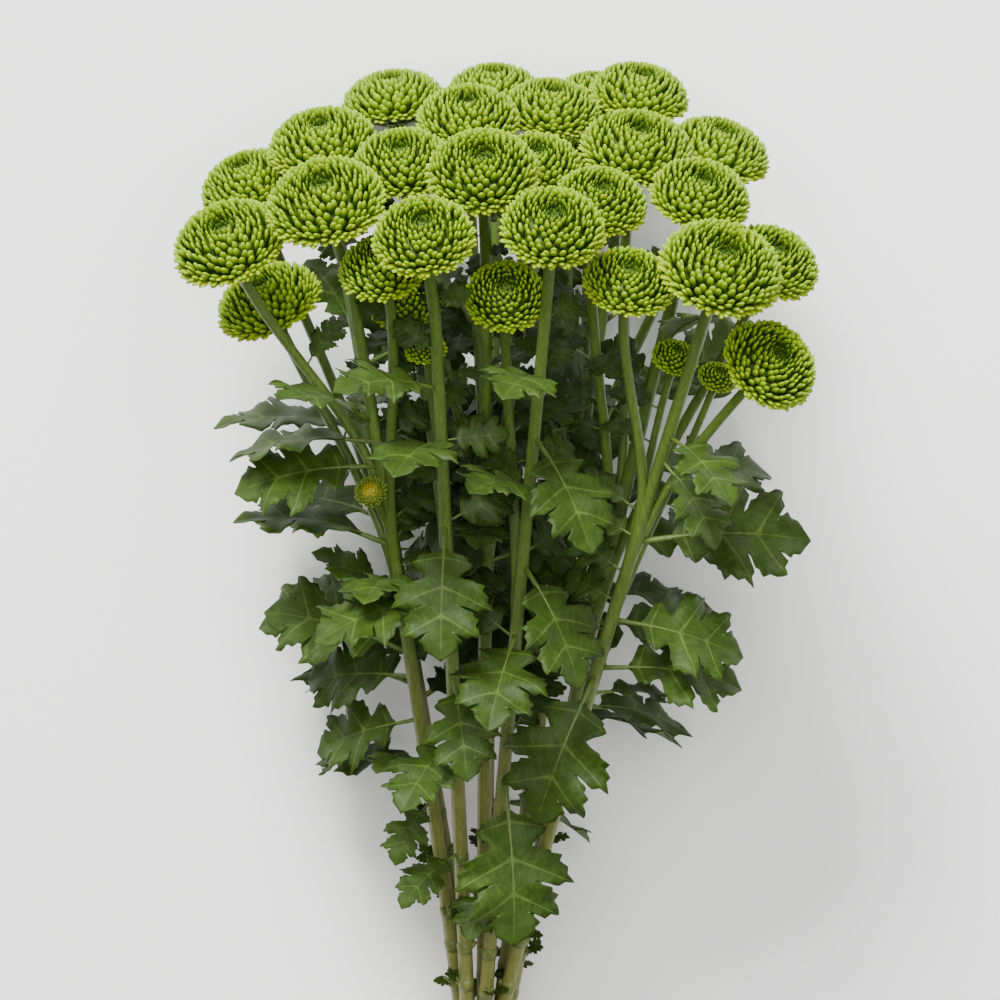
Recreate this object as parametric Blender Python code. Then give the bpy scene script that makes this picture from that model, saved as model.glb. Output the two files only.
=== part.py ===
"""A tied bunch of green pompon chrysanthemum sprays, lying on its side.

Run with: blender --background --python part.py

The bunch is laid out in its own frame, in millimetres: X across, Y along the stems towards the
heads, Z towards the front of the bunch. The empty "bunch" then lays it on the ground plane.
"""

import math

import bmesh
import bpy
from mathutils import Matrix, Vector
from mathutils.bvhtree import BVHTree

MM = 0.001

# Driving sizes, in millimetres and degrees
LAY_TILT = 11.5  # slope of the bunch's axis, because the heads are a wider bundle than the stems
CUT_Y = -112.0  # where the stems were cut
BAND_Y = -9.0  # middle of the rubber band
BAND_X = -6.0  # the tie stands a little left of the heads' middle
BAND_WIDTH = 5.0
BAND_THICKNESS = 1.4
STEM_RADIUS = 3.1  # at the cut end
TWIG_RADIUS = 1.9
NECK_RADIUS = 4.6  # the green cup that carries a head
RING_RADIUS = 8.8  # of the stems round the middle one, at the band
CUT_SPLAY = 1.5  # how much wider the stems stand at the cut ends than at the band
SPIRAL = 30.0  # degrees that the stems turn between the band and the cut ends
FAN_POWER = 1.08  # 1 would be straight stems; more bends them outwards towards the heads
NECK_BEND = 42.0  # how far below its head a stem starts to bend to the head's own direction
NOD = 0.2  # how much every head also leans to the front
GAP = 0.3  # air between a head and its neck
BAND_CLEARANCE = 0.45  # between a stem and the band
BLADE_THICKNESS = 0.9
SIGHT_ELEVATION = 22.0  # the heads crowd each other mostly along this line of sight

# number: spray, across, along, front, diameter, lean (1 leans out as far as its place asks)
HEADS = {
    1: (5, -38, 331, -89, 40, 0.8),
    2: (5, -4, 336, -81, 37, 0.8),
    3: (2, -66, 339, -12, 42, 0.6),
    4: (1, -63, 336, 44, 45, 0.9),
    5: (1, -94, 323, 42, 43, 0.9),
    6: (2, -91, 322, -22, 38, 1.0),
    7: (1, -85, 284, 2, 41, 1.2),
    8: (9, -36, 345, 28, 38, 0.8),
    9: (9, -5, 346, 44, 42, 1.3),
    10: (3, -25, 336, 70, 38, 1.0),
    11: (1, -43, 318, 56, 33, 1.0),
    12: (9, -7, 350, -6, 39, 1.0),
    13: (4, 17, 338, 67, 39, 1.0),
    14: (4, 2, 302, 46, 31, 2.6),
    15: (7, 39, 336, 46, 35, 1.0),
    16: (8, 47, 317, 64, 34, 0.8),
    17: (8, 77, 324, 76, 46, 0.8),
    18: (7, 97, 315, 42, 36, 1.0),
    19: (7, 69, 336, 34, 38, 0.8),
    20: (7, 49, 344, 8, 43, 0.8),
    21: (6, 76, 332, -35, 40, 1.0),
    22: (5, 21, 346, -33, 38, 1.0),
    23: (6, 52, 345, -43, 38, 0.8),
    24: (9, 10, 344, 19, 35, 1.0),
    25: (6, 28, 318, -62, 30, 1.0),
    26: (8, 97, 286, 72, 37, 1.5),
    27: (8, 78, 270, 44, 15, 1.0),
    28: (8, 64, 276, 41, 18, 1.0),
    30: (3, -34, 292, 26, 28, 1.5),
    31: (6, 37, 330, -92, 36, 0.8),
    32: (3, -27, 280, 41, 16, 1.0),
}
OPEN_BUD = (1, -47, 222, 37, 13, 1.4)

# number: compass of the stem's place round the tie (None is the middle), head it ends in
SPRAYS = {
    1: (180, 4),
    2: (225, 3),
    3: (135, 10),
    4: (90, 13),
    5: (270, 2),
    6: (315, 23),
    7: (0, 19),
    8: (45, 17),
    9: (None, 9),
}
FORK_LOW = 150.0  # along the bunch, where the lowest side twig leaves its stem
FORK_STEP = 18.0
BUD_RADIUS = 7.0  # smaller heads are buds on short stalks

# Leaves: along the bunch, compass round the stem (0 to the right, 90 to the front), length of
# the blade, rise along the stem, and how far the upper face turns to the front
LEAVES = {
    1: ((238, 183, 44, 12, -15), (246, 180, 42, 48, 0), (195, 183, 48, 30, -12),
        (150, 190, 46, 28, 25), (165, 130, 34, 55, 0), (181, 62, 34, 15, 0),
        (140, 200, 38, 0, 30), (122, 185, 36, -8, 30), (104, 150, 28, 35, 0),
        (88, 130, 24, -20, 0), (228, 215, 44, 10, 20)),
    2: ((262, 175, 36, 55, 0), (225, 190, 48, 25, 0), (190, 215, 50, 15, 10),
        (155, 185, 46, 10, 20), (125, 220, 48, 10, 0), (90, 205, 40, 15, 0),
        (250, 10, 46, 22, 60), (208, 5, 48, 15, 60), (172, 0, 46, 20, 60), (138, 10, 42, 15, 60)),
    3: ((268, 150, 36, 30, 0), (245, 110, 40, 30, 0), (212, 95, 42, -32, 0), (180, 140, 44, 10, 0),
        (148, 82, 34, -30, 0), (120, 120, 34, 0, 0), (70, 140, 26, -10, 0)),
    4: ((272, 110, 34, 30, 0), (248, 60, 42, -15, 0), (226, 125, 34, 35, 0), (195, 55, 42, -25, 0),
        (165, 100, 42, 0, 0), (104, 75, 52, -48, 0), (60, 110, 24, -15, 0)),
    5: ((255, 240, 42, 35, 0), (222, 280, 50, 25, 0), (185, 240, 52, 20, 0),
        (72, 275, 38, 5, 0),
        (262, 350, 44, 28, 60), (238, 180, 46, 22, 60), (203, 0, 48, 15, 60), (168, 180, 46, 15, 60),
        (130, 0, 42, 10, 60)),
    6: ((255, 310, 44, 35, 0), (222, 335, 50, 25, 0), (185, 295, 50, 20, 0),
        (150, 330, 50, 15, 0), (108, 305, 46, 5, 0),
        (240, 180, 44, 22, 60), (205, 185, 46, 15, 60), (170, 180, 44, 15, 60), (130, 180, 40, 15, 60)),
    7: ((272, 60, 34, 40, 0), (252, 352, 40, 42, 10), (220, 10, 46, 15, 0), (190, 345, 46, 20, 10),
        (160, 0, 44, 10, 20), (125, 340, 42, 0, 0)),
    8: ((250, 10, 34, 10, 0), (205, 2, 52, 24, 25), (172, 5, 42, 5, 30), (151, 2, 44, 16, 10),
        (150, 95, 50, -50, 0), (240, 45, 32, -12, 0), (140, 345, 32, 10, -20)),
    9: ((275, 130, 34, 30, 0), (262, 320, 36, 30, 0), (250, 200, 38, 30, 0), (235, 20, 38, 30, 0),
        (200, 110, 38, 10, 0), (170, 240, 36, 10, 0), (145, 60, 36, 5, 0),
        (222, 180, 40, 15, 60), (185, 0, 40, 15, 60), (157, 180, 36, 15, 60)),
}
PETIOLE = 0.26  # of the blade's length
DROOP = 0.6  # radians that a leaf bends down along its length
CUP = 0.22  # how far the two halves of a blade rise like a shallow V
TURNS = (0, 14, -14, 28, -28, 44, -44, 62, -62)  # ways to bend a leaf clear of its neighbours
LIFTS = (0, 16, -16, 32)
SHRINKS = (1.0, 0.84, 0.7, 0.56)
CLEARANCES = ((1.0, 2.4), (1.05, 1.2))  # a leaf must be clear at each larger size and thickness

# Half of a blade's outline as shares of its length: along, sideways. Lobe by lobe.
LOBES = (
    (0.0, 0.25, ((0.0, 0.03), (0.13, 0.25), (0.26, 0.15))),
    (0.25, 0.50, ((0.26, 0.15), (0.36, 0.37), (0.54, 0.43), (0.51, 0.17))),
    (0.50, 0.74, ((0.51, 0.17), (0.62, 0.30), (0.78, 0.32), (0.75, 0.14))),
    (0.74, 1.0, ((0.75, 0.14), (0.87, 0.16))),
)
PETIOLE_HALF_WIDTH = 0.02

HEAD_SIDES = 9  # florets round a head, larger than life
HEAD_RINGS = (13, 38, 63, 88, 112, 137)  # degrees down from the top of the dome
FLORET_REACH = 0.13  # how far a floret's tip stands out, as a share of the head's radius
HEAD_HEIGHT = 1.0  # of a head, as a share of its radius
WIDEST_AT = 0.38  # of that height

COLOURS = {
    "floret": ((0.30, 0.50, 0.03), 0.55),
    "leaf": ((0.04, 0.11, 0.03), 0.5),
    "bud": ((0.50, 0.42, 0.05), 0.6),
    "rubber": ((0.62, 0.45, 0.22), 0.6),
}


def cleared_scene():
    for obj in list(bpy.data.objects):
        bpy.data.objects.remove(obj, do_unlink=True)


def new_collection(name, hidden=False):
    collection = bpy.data.collections.new(name)
    collection.hide_render = hidden
    bpy.context.scene.collection.children.link(collection)
    return collection


def material(name):
    found = bpy.data.materials.get(name)
    if found:
        return found
    colour, roughness = COLOURS[name]
    made = bpy.data.materials.new(name)
    made.use_nodes = True
    shader = made.node_tree.nodes["Principled BSDF"]
    shader.inputs["Base Color"].default_value = (*colour, 1.0)
    shader.inputs["Roughness"].default_value = roughness
    shader.inputs["Metallic"].default_value = 0.0
    return made


def polar(radius, degrees):
    """A point in the cross-section of the bunch: X across and Z to the front."""
    angle = math.radians(degrees)
    return Vector((radius * math.cos(angle), 0.0, radius * math.sin(angle)))


# Where things go

def head_axis(place, lean):
    """A head faces along the bunch and leans away from its middle."""
    out = Vector((place.x, 0.0, place.z))
    tilt = min(0.0036 * out.length * lean, 1.1)
    axis = Vector((0.0, math.cos(tilt), NOD)) + out.normalized() * math.sin(tilt)
    return axis.normalized()


def floor_normal():
    tilt = math.radians(LAY_TILT)
    return Vector((0.0, math.sin(tilt), math.cos(tilt)))


def floor_offset():
    """Height of the bunch frame's origin above the ground, with the lowest cut stem resting."""
    lowest = min(cut_end(number).dot(floor_normal()) for number in SPRAYS)
    return STEM_RADIUS - lowest


def reach(head, direction):
    """How far a head's rounded body reaches from its centre in a direction."""
    along = direction.dot(head["axis"])
    wide = head["radius"] ** 2 * (1 - along ** 2)
    tall = (0.56 * HEAD_HEIGHT * head["radius"]) ** 2 * along ** 2
    return math.sqrt(wide + tall) + 0.5 * GAP


def pressed_apart(heads):
    """Heads that would share space push each other apart, mostly along the line of sight."""
    sight = math.radians(SIGHT_ELEVATION)
    view = Vector((0.0, math.sin(sight), math.cos(sight)))
    up, above = floor_normal(), floor_offset()
    order = sorted(heads)
    for _ in range(160):
        for i, a in enumerate(order):
            for b in order[i + 1:]:
                first, second = heads[a], heads[b]
                away = second["centre"] - first["centre"]
                direction = away.normalized()
                need = reach(first, direction) + reach(second, direction) - away.length
                if need <= 0:
                    continue
                depth = direction.dot(view) * view
                push = (direction - depth) * 0.4 + depth * 1.2
                second["centre"] += push * 0.3 * need
                first["centre"] -= push * 0.3 * need
        for head in heads.values():
            height = head["centre"].dot(up) + above
            sunk = reach(head, up) - 0.5 * GAP - height
            if sunk > 0:
                head["centre"] += up * sunk
    return heads


def placed_heads():
    heads = {}
    for number, (spray, across, along, front, size, lean) in HEADS.items():
        place = Vector((across, along, front))
        axis = head_axis(place, lean)
        heads[number] = {"spray": spray, "centre": place, "axis": axis, "radius": size / 2}
    return pressed_apart(heads)


def band_place(number):
    compass = SPRAYS[number][0]
    middle = Vector((BAND_X, BAND_Y, 0.0))
    return middle if compass is None else middle + polar(RING_RADIUS, compass)


def cut_end(number):
    compass = SPRAYS[number][0]
    middle = Vector((BAND_X, CUT_Y, 0.0))
    if compass is None:
        return middle
    return middle + polar(RING_RADIUS * CUT_SPLAY, compass - SPIRAL)


def foot(head):
    """Where a neck meets the underside of its head."""
    return head["centre"] - head["axis"] * (0.5 * HEAD_HEIGHT * head["radius"])


def bezier(points, share):
    a, b, c, d = points
    rest = 1 - share
    return (a * rest ** 3 + b * 3 * rest ** 2 * share
            + c * 3 * rest * share ** 2 + d * share ** 3)


def main_stem(number, head):
    """Points up one stem: cut end, band, fan, and the bend into its head."""
    below, band = cut_end(number), band_place(number)
    points = [below.lerp(band, share) for share in (0.0, 0.5, 1.0)]
    fan = band + Vector((0.0, BAND_WIDTH, 0.0))
    top = foot(head)
    bend = top - head["axis"] * NECK_BEND
    for step in range(6):
        share = step / 5
        place = fan.lerp(bend, share ** FAN_POWER)
        place.y = fan.y + (bend.y - fan.y) * share
        points.append(place)
    before = (points[-1] - points[-2]).normalized()
    corner = [points[-1], points[-1] + before * 14, top - head["axis"] * 16, top]
    return points + [bezier(corner, share) for share in (0.34, 0.67, 1.0)]


def at_height(points, y):
    """The point of a path at a height along the bunch, and the path's direction there."""
    for low, high in zip(points, points[1:]):
        if low.y <= y <= high.y:
            share = (y - low.y) / (high.y - low.y)
            return low.lerp(high, share), (high - low).normalized()
    return points[-1].copy(), (points[-1] - points[-2]).normalized()


def side_twig(stem, head, fork_y):
    start, along = at_height(stem, fork_y)
    top = foot(head)
    pull = (top - start).length * 0.36
    corner = [start, start + along * pull, top - head["axis"] * pull, top]
    return [bezier(corner, step / 4) for step in range(5)]


def spray_paths(number, heads):
    """The main stem and the side twigs of one spray."""
    leader = SPRAYS[number][1]
    stem = main_stem(number, heads[leader])
    twigs = {leader: stem}
    others = [n for n in heads if heads[n]["spray"] == number and n != leader]
    for step, other in enumerate(sorted(others, key=lambda n: heads[n]["centre"].y)):
        fork = min(FORK_LOW + FORK_STEP * step, foot(heads[other]).y - 55)
        if heads[other]["radius"] < BUD_RADIUS:
            fork = foot(heads[other]).y - 26
        twigs[other] = side_twig(stem, heads[other], fork)
    return stem, twigs


# Making meshes

def tube(name, points, radii, sides=6):
    """A closed tube along points, as a mesh, with its end caps welded."""
    curve = bpy.data.curves.new(name, "CURVE")
    curve.dimensions = "3D"
    curve.bevel_depth = 1.0
    curve.bevel_resolution = (sides - 4) // 2
    curve.use_fill_caps = True
    spline = curve.splines.new("POLY")
    spline.points.add(len(points) - 1)
    for point, place, radius in zip(spline.points, points, radii):
        point.co = (*place, 1.0)
        point.radius = radius
    drawn = bpy.data.objects.new(name + "_curve", curve)
    bpy.context.scene.collection.objects.link(drawn)
    bpy.context.view_layer.update()
    graph = bpy.context.evaluated_depsgraph_get()
    mesh = bpy.data.meshes.new_from_object(drawn.evaluated_get(graph))
    bpy.data.objects.remove(drawn, do_unlink=True)
    bm = bmesh.new()
    bm.from_mesh(mesh)
    bmesh.ops.remove_doubles(bm, verts=bm.verts, dist=0.001)
    bmesh.ops.triangulate(bm, faces=bm.faces)
    bmesh.ops.recalc_face_normals(bm, faces=bm.faces)
    bm.to_mesh(mesh)
    bm.free()
    return mesh


def flared(count, low, high):
    """Radii of a twig that thins upwards and opens into a cup at its head."""
    radii = [low + (high - low) * step / (count - 2) for step in range(count - 1)]
    return radii + [NECK_RADIUS]


def twig_points(path, head):
    """A path stopped short of its head, with the start of the flared neck put in."""
    axis = head["axis"]
    neck = min(NECK_RADIUS, 0.42 * head["radius"])
    top = path[-1] - axis * GAP
    return path[:-1] + [top - axis * 1.3 * neck, top]


def leaf_bend(point, length, droop, cup):
    """Bends a flat leaf's point: down along its length and up from the midrib."""
    along, side, height = point
    curl = droop / length
    angle = curl * max(along, 0.0)
    reach_out = math.sin(angle) / curl + min(along, 0.0)
    fall = (1 - math.cos(angle)) / curl
    lift = height + cup * abs(side) - 0.9 * cup * side ** 2 / (0.44 * length)
    return Vector((reach_out + lift * math.sin(angle), side, -fall + lift * math.cos(angle)))


def leaf_frame(stem_point, stem_along, compass, rise, facing):
    """A leaf's matrix: X along its length, Z up out of its upper face."""
    out = polar(1.0, compass)
    out = (out - stem_along * out.dot(stem_along)).normalized()
    lift = math.radians(rise)
    along = out * math.cos(lift) + stem_along * math.sin(lift)
    up = stem_along * math.cos(lift) - out * math.sin(lift)
    side = up.cross(along)
    roll = math.radians(facing if side.z > 0 else -facing)
    up = up * math.cos(roll) + side * math.sin(roll)
    side = up.cross(along)
    turn = Matrix((along, side, up)).transposed()
    return Matrix.Translation(stem_point) @ turn.to_4x4()


def leaf_bmesh(frame, length, thickness):
    """One lobed blade with its stalk, bent and in place."""
    bm = bmesh.new()
    stalk = PETIOLE * length
    for side in (1, -1):
        edge = PETIOLE_HALF_WIDTH * length * side
        outlines = [((-stalk, 0.0), (0.0, 0.0), (0.0, 0.03 * length * side), (-stalk, edge))]
        for low, high, lobe in LOBES:
            rim = [(along * length, across * length * side) for along, across in lobe]
            outlines.append(((high * length, 0.0), (low * length, 0.0), *rim))
        for outline in outlines:
            corners = [bm.verts.new((along, across, 0.0)) for along, across in outline]
            bm.faces.new(corners if side < 0 else corners[::-1])
    bmesh.ops.remove_doubles(bm, verts=bm.verts, dist=0.001)
    bmesh.ops.triangulate(bm, faces=bm.faces)
    bmesh.ops.recalc_face_normals(bm, faces=bm.faces)
    if sum(face.normal.z for face in bm.faces) < 0:
        bmesh.ops.reverse_faces(bm, faces=bm.faces)
    lower = bmesh.ops.extrude_face_region(bm, geom=list(bm.faces), use_keep_orig=True)
    for item in lower["geom"]:
        if isinstance(item, bmesh.types.BMVert):
            item.co.z -= thickness
    bmesh.ops.recalc_face_normals(bm, faces=bm.faces)
    for vert in bm.verts:
        flat = Vector((vert.co.x, vert.co.y, vert.co.z + 0.5 * thickness))
        bent = leaf_bend(flat, length, DROOP, CUP)
        vert.co = frame @ (bent + Vector((stalk, 0.0, 0.0)))
    return bm


def tree_of_mesh(mesh, matrix=None):
    bm = bmesh.new()
    bm.from_mesh(mesh)
    if matrix:
        bmesh.ops.transform(bm, matrix=matrix, verts=bm.verts)
    tree = BVHTree.FromBMesh(bm)
    bm.free()
    return tree


def leaf_ways(stem, leaf):
    """Every way that a leaf may stand, the best first: as asked, turned, lifted or smaller."""
    y, compass, length, rise, facing = leaf
    point, along = at_height(stem, y)
    for shrink in SHRINKS:
        for lift in LIFTS:
            for turn in TURNS:
                frame = leaf_frame(point, along, compass + turn, rise + lift, facing)
                yield frame, length * shrink


def blade_tree(bm, frame, stalk):
    """A search tree of only the blade in bm, without the stalk that starts inside the stem."""
    inverse = frame.inverted()
    near = [v for v in bm.verts if (inverse @ v.co).x < 0.6 * stalk]
    bmesh.ops.delete(bm, geom=near, context="VERTS")
    return BVHTree.FromBMesh(bm)


def clear_leaf(stem, leaf, walls, own_wood):
    """The first way for a leaf to stand that crosses nothing, as (frame, length), or None."""
    up, above = floor_normal(), floor_offset()
    for frame, length in leaf_ways(stem, leaf):
        clear = True
        for growth, thickness in CLEARANCES:
            trial = leaf_bmesh(frame, length * growth, thickness)
            lowest = min(vert.co.dot(up) for vert in trial.verts) + above
            tree = BVHTree.FromBMesh(trial)
            clear = lowest > 0 and not any(tree.overlap(wall) for wall in walls)
            if clear:
                blade = blade_tree(trial, frame, PETIOLE * length)
                clear = not any(blade.overlap(wood) for wood in own_wood)
            trial.free()
            if not clear:
                break
        if clear:
            return frame, length
    return None


def dome_point(radius, degrees, grow=0.0):
    """Radius and height on a head's dome, at an angle down from its top."""
    angle = math.radians(degrees)
    middle = WIDEST_AT * HEAD_HEIGHT * radius
    tall = (1 - WIDEST_AT if degrees < 90 else WIDEST_AT) * HEAD_HEIGHT * radius
    core = (1 - FLORET_REACH) * radius
    dimple = 0.13 * radius * math.exp(-(degrees / 16) ** 2)
    swell = grow * radius
    out = (core + swell) * math.sin(angle)
    high = middle + (tall - (FLORET_REACH * radius if degrees < 90 else 0.0) + swell)
    return out, middle + (high - middle) * math.cos(angle) - dimple


def head_mesh(name, radius, sides=HEAD_SIDES):
    """A dome covered in pointed florets: each cell of a staggered net is drawn out to a tip."""
    bm = bmesh.new()
    step = 2 * math.pi / sides
    rings = []
    for row, degrees in enumerate(HEAD_RINGS):
        out, high = dome_point(radius, degrees)
        ring = []
        for place in range(sides):
            angle = (place + 0.5 * (row % 2)) * step
            ring.append(bm.verts.new((out * math.cos(angle), out * math.sin(angle), high)))
        rings.append(ring)
    for row in range(1, len(rings) - 1):
        between = 0.45 * (HEAD_RINGS[row + 1] - HEAD_RINGS[row])
        out, high = dome_point(radius, HEAD_RINGS[row] + between, FLORET_REACH)
        shift = row % 2
        for place in range(sides):
            angle = (place + 0.5 + 0.5 * shift) * step
            tip = bm.verts.new((out * math.cos(angle), out * math.sin(angle), high))
            left, right = rings[row][place], rings[row][(place + 1) % sides]
            inner = rings[row - 1][(place + shift) % sides]
            outer = rings[row + 1][(place + shift) % sides]
            for a, b in ((inner, left), (left, outer), (outer, right), (right, inner)):
                bm.faces.new((a, b, tip))
    for row, middle in ((0, HEAD_HEIGHT * radius * 0.8), (len(rings) - 1, None)):
        ring = rings[row]
        other = rings[1 if row == 0 else row - 1]
        shift = 1 if row % 2 else 0
        for place in range(sides):
            after = (place + 1) % sides
            between = other[(place + shift) % sides]
            bm.faces.new((ring[after], ring[place], between))
        if middle is None:
            bm.faces.new(ring)
        else:
            eye = bm.verts.new((0.0, 0.0, middle))
            for place in range(sides):
                bm.faces.new((ring[place], ring[(place + 1) % sides], eye))
    bmesh.ops.triangulate(bm, faces=bm.faces)
    bmesh.ops.recalc_face_normals(bm, faces=bm.faces)
    mesh = bpy.data.meshes.new(name)
    bm.to_mesh(mesh)
    bm.free()
    return mesh


def head_matrix(head):
    turn = head["axis"].to_track_quat("Z", "Y").to_matrix().to_4x4()
    return Matrix.Translation(foot(head)) @ turn


def band_mesh():
    """A flat rubber band round the ring of stems: an arc at each stem and a straight run between."""
    spacing = 360 / (len(SPRAYS) - 1)
    inner = stem_radius_at(BAND_Y) + BAND_CLEARANCE
    rows = []
    for wall in (inner, inner + BAND_THICKNESS):
        outline = []
        for stem in range(len(SPRAYS) - 1):
            centre = polar(RING_RADIUS, stem * spacing)
            for share in (-0.5, 0.0, 0.5):
                outline.append(centre + polar(wall, (stem + share) * spacing))
        rows.append(outline)
    bm = bmesh.new()
    count = len(rows[0])
    corners = [[bm.verts.new(p + Vector((0.0, y, 0.0))) for p in row]
               for row, y in ((rows[0], -0.5 * BAND_WIDTH), (rows[1], -0.5 * BAND_WIDTH),
                              (rows[1], 0.5 * BAND_WIDTH), (rows[0], 0.5 * BAND_WIDTH))]
    for side in range(4):
        for place in range(count):
            after = (place + 1) % count
            here, there = corners[side], corners[(side + 1) % 4]
            bm.faces.new((here[place], here[after], there[after], there[place]))
    bmesh.ops.recalc_face_normals(bm, faces=bm.faces)
    bmesh.ops.translate(bm, verts=bm.verts, vec=(BAND_X, BAND_Y, 0.0))
    mesh = bpy.data.meshes.new("rubber_band")
    bm.to_mesh(mesh)
    bm.free()
    return mesh


def stem_radius_at(y):
    """Stems thin slowly from the cut end upwards."""
    return STEM_RADIUS - 0.9 * min(max((y - CUT_Y) / 420, 0.0), 1.0)


# Putting the nodes together

def joined(name, meshes, collection):
    """One closed body from several overlapping meshes."""
    scrap = new_collection(name + "_pieces", hidden=True)
    body = bpy.data.objects.new(name, meshes[0])
    collection.objects.link(body)
    for index, mesh in enumerate(meshes[1:]):
        scrap.objects.link(bpy.data.objects.new(f"{name}_piece_{index}", mesh))
    join = body.modifiers.new("Join", "BOOLEAN")
    join.operation = "UNION"
    join.operand_type = "COLLECTION"
    join.collection = scrap
    join.solver = "MANIFOLD"
    bpy.context.view_layer.update()
    graph = bpy.context.evaluated_depsgraph_get()
    whole = bpy.data.meshes.new_from_object(body.evaluated_get(graph))
    body.modifiers.clear()
    body.data = whole
    for obj in list(scrap.objects):
        bpy.data.objects.remove(obj, do_unlink=True)
    bpy.data.collections.remove(scrap)
    return body


def wood_meshes(number, heads):
    """The stem and twigs of a spray as closed tubes."""
    stem, twigs = spray_paths(number, heads)
    meshes = []
    for head_number, path in twigs.items():
        head = heads[head_number]
        points = twig_points(path, head)
        if path is stem:
            radii = [stem_radius_at(point.y) for point in points[:-2]] + [2.0]
        else:
            radii = [TWIG_RADIUS if head["radius"] > 12 else 1.4] * (len(points) - 1)
        radii.append(min(NECK_RADIUS, 0.42 * head["radius"]))
        meshes.append(tube(f"wood_{head_number}", points, radii))
    return stem, meshes


def build():
    cleared_scene()
    parts = new_collection("pompon_chrysanthemum_bunch")
    bunch = bpy.data.objects.new("bunch", None)
    parts.objects.link(bunch)

    heads = placed_heads()
    spray, *place, size, lean = OPEN_BUD
    bud_centre = Vector(place)
    heads["bud"] = {"spray": spray, "centre": bud_centre, "radius": size / 2,
                    "axis": (head_axis(bud_centre, lean) + Vector((0.0, 0.0, 0.6))).normalized()}

    nodes = []
    head_trees = []
    for number, head in heads.items():
        name = "open_bud" if number == "bud" else f"flower_{number:02d}"
        sides = HEAD_SIDES if head["radius"] > 12 else 8
        mesh = head_mesh(name, head["radius"], sides)
        obj = bpy.data.objects.new(name, mesh)
        obj.matrix_world = head_matrix(head)
        mesh.materials.append(material("bud" if number == "bud" else "floret"))
        parts.objects.link(obj)
        nodes.append(obj)
        head_trees.append(tree_of_mesh(mesh, head_matrix(head)))

    wood = {number: wood_meshes(number, heads) for number in SPRAYS}
    wood_trees = {number: [tree_of_mesh(mesh) for mesh in wood[number][1]] for number in SPRAYS}
    blades = {number: [] for number in SPRAYS}
    for turn in range(max(len(leaves) for leaves in LEAVES.values())):
        for number, leaves in LEAVES.items():
            if turn >= len(leaves):
                continue
            walls = list(head_trees)
            for other in SPRAYS:
                if other != number:
                    walls += wood_trees[other]
                walls += [blade["tree"] for blade in blades[other]]
            found = clear_leaf(wood[number][0], leaves[turn], walls, wood_trees[number])
            if not found:
                print("no room for leaf", turn, "of spray", number)
                continue
            frame, length = found
            bm = leaf_bmesh(frame, length, BLADE_THICKNESS)
            mesh = bpy.data.meshes.new(f"leaf_{number}_{turn}")
            bm.to_mesh(mesh)
            blades[number].append({"tree": BVHTree.FromBMesh(bm), "mesh": mesh})
            bm.free()

    for number in SPRAYS:
        pieces = wood[number][1] + [blade["mesh"] for blade in blades[number]]
        obj = joined(f"leafy_stem_{number}", pieces, parts)
        obj.data.materials.clear()
        obj.data.materials.append(material("leaf"))
        nodes.append(obj)

    band = bpy.data.objects.new("rubber_band", band_mesh())
    band.data.materials.append(material("rubber"))
    parts.objects.link(band)
    nodes.append(band)

    lie_down(bunch, nodes)


def lie_down(bunch, nodes):
    """Lays the bunch on the ground plane, with the middle of its box over the origin."""
    bunch.rotation_euler.x = math.radians(LAY_TILT)
    bunch.scale = (MM, MM, MM)
    for node in nodes:
        node.parent = bunch
    bpy.context.view_layer.update()
    corners = [node.matrix_world @ vert.co for node in nodes for vert in node.data.vertices]
    low = Vector([min(corner[axis] for corner in corners) for axis in range(3)])
    high = Vector([max(corner[axis] for corner in corners) for axis in range(3)])
    bunch.location = (-(low.x + high.x) / 2, -(low.y + high.y) / 2, -low.z)


build()
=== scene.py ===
"""The looks of a tied bunch of green pompon chrysanthemum sprays, lying on its side.

The bunch is laid out in its own frame, in millimetres: X across, Y along the stems towards the
heads, Z towards the front of the bunch. bunch_matrix() takes that frame to the CAD model's.
"""

import math
import random

import bmesh
import bpy
import numpy as np
from bpy.props import FloatProperty, FloatVectorProperty, IntProperty, PointerProperty
from bpy.types import Operator, Panel, PropertyGroup
from mathutils import Matrix, Vector
from mathutils.bvhtree import BVHTree
from mathutils.kdtree import KDTree


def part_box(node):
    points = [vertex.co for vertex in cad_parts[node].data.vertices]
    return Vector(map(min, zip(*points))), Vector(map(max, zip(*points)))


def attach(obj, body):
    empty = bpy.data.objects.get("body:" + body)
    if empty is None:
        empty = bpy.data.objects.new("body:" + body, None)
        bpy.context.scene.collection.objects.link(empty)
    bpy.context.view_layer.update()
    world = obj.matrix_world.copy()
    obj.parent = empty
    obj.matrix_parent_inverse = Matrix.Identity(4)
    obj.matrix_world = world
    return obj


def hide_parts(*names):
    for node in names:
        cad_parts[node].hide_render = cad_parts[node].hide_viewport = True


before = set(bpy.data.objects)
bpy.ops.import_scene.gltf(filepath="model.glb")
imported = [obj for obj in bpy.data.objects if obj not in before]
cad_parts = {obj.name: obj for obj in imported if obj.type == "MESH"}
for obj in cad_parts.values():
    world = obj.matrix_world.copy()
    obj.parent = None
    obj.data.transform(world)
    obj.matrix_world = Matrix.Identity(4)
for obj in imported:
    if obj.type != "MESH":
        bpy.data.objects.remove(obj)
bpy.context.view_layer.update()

bl_info = {
    "name": "Pompon Chrysanthemum Bunch",
    "version": (1, 0, 0),
    "blender": (4, 5, 0),
    "location": "View3D > Sidebar > Bunch",
    "description": "Flowers, leafy stems and band of a tied chrysanthemum bunch, with its stage",
    "category": "Object",
}

MM = 0.001

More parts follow.
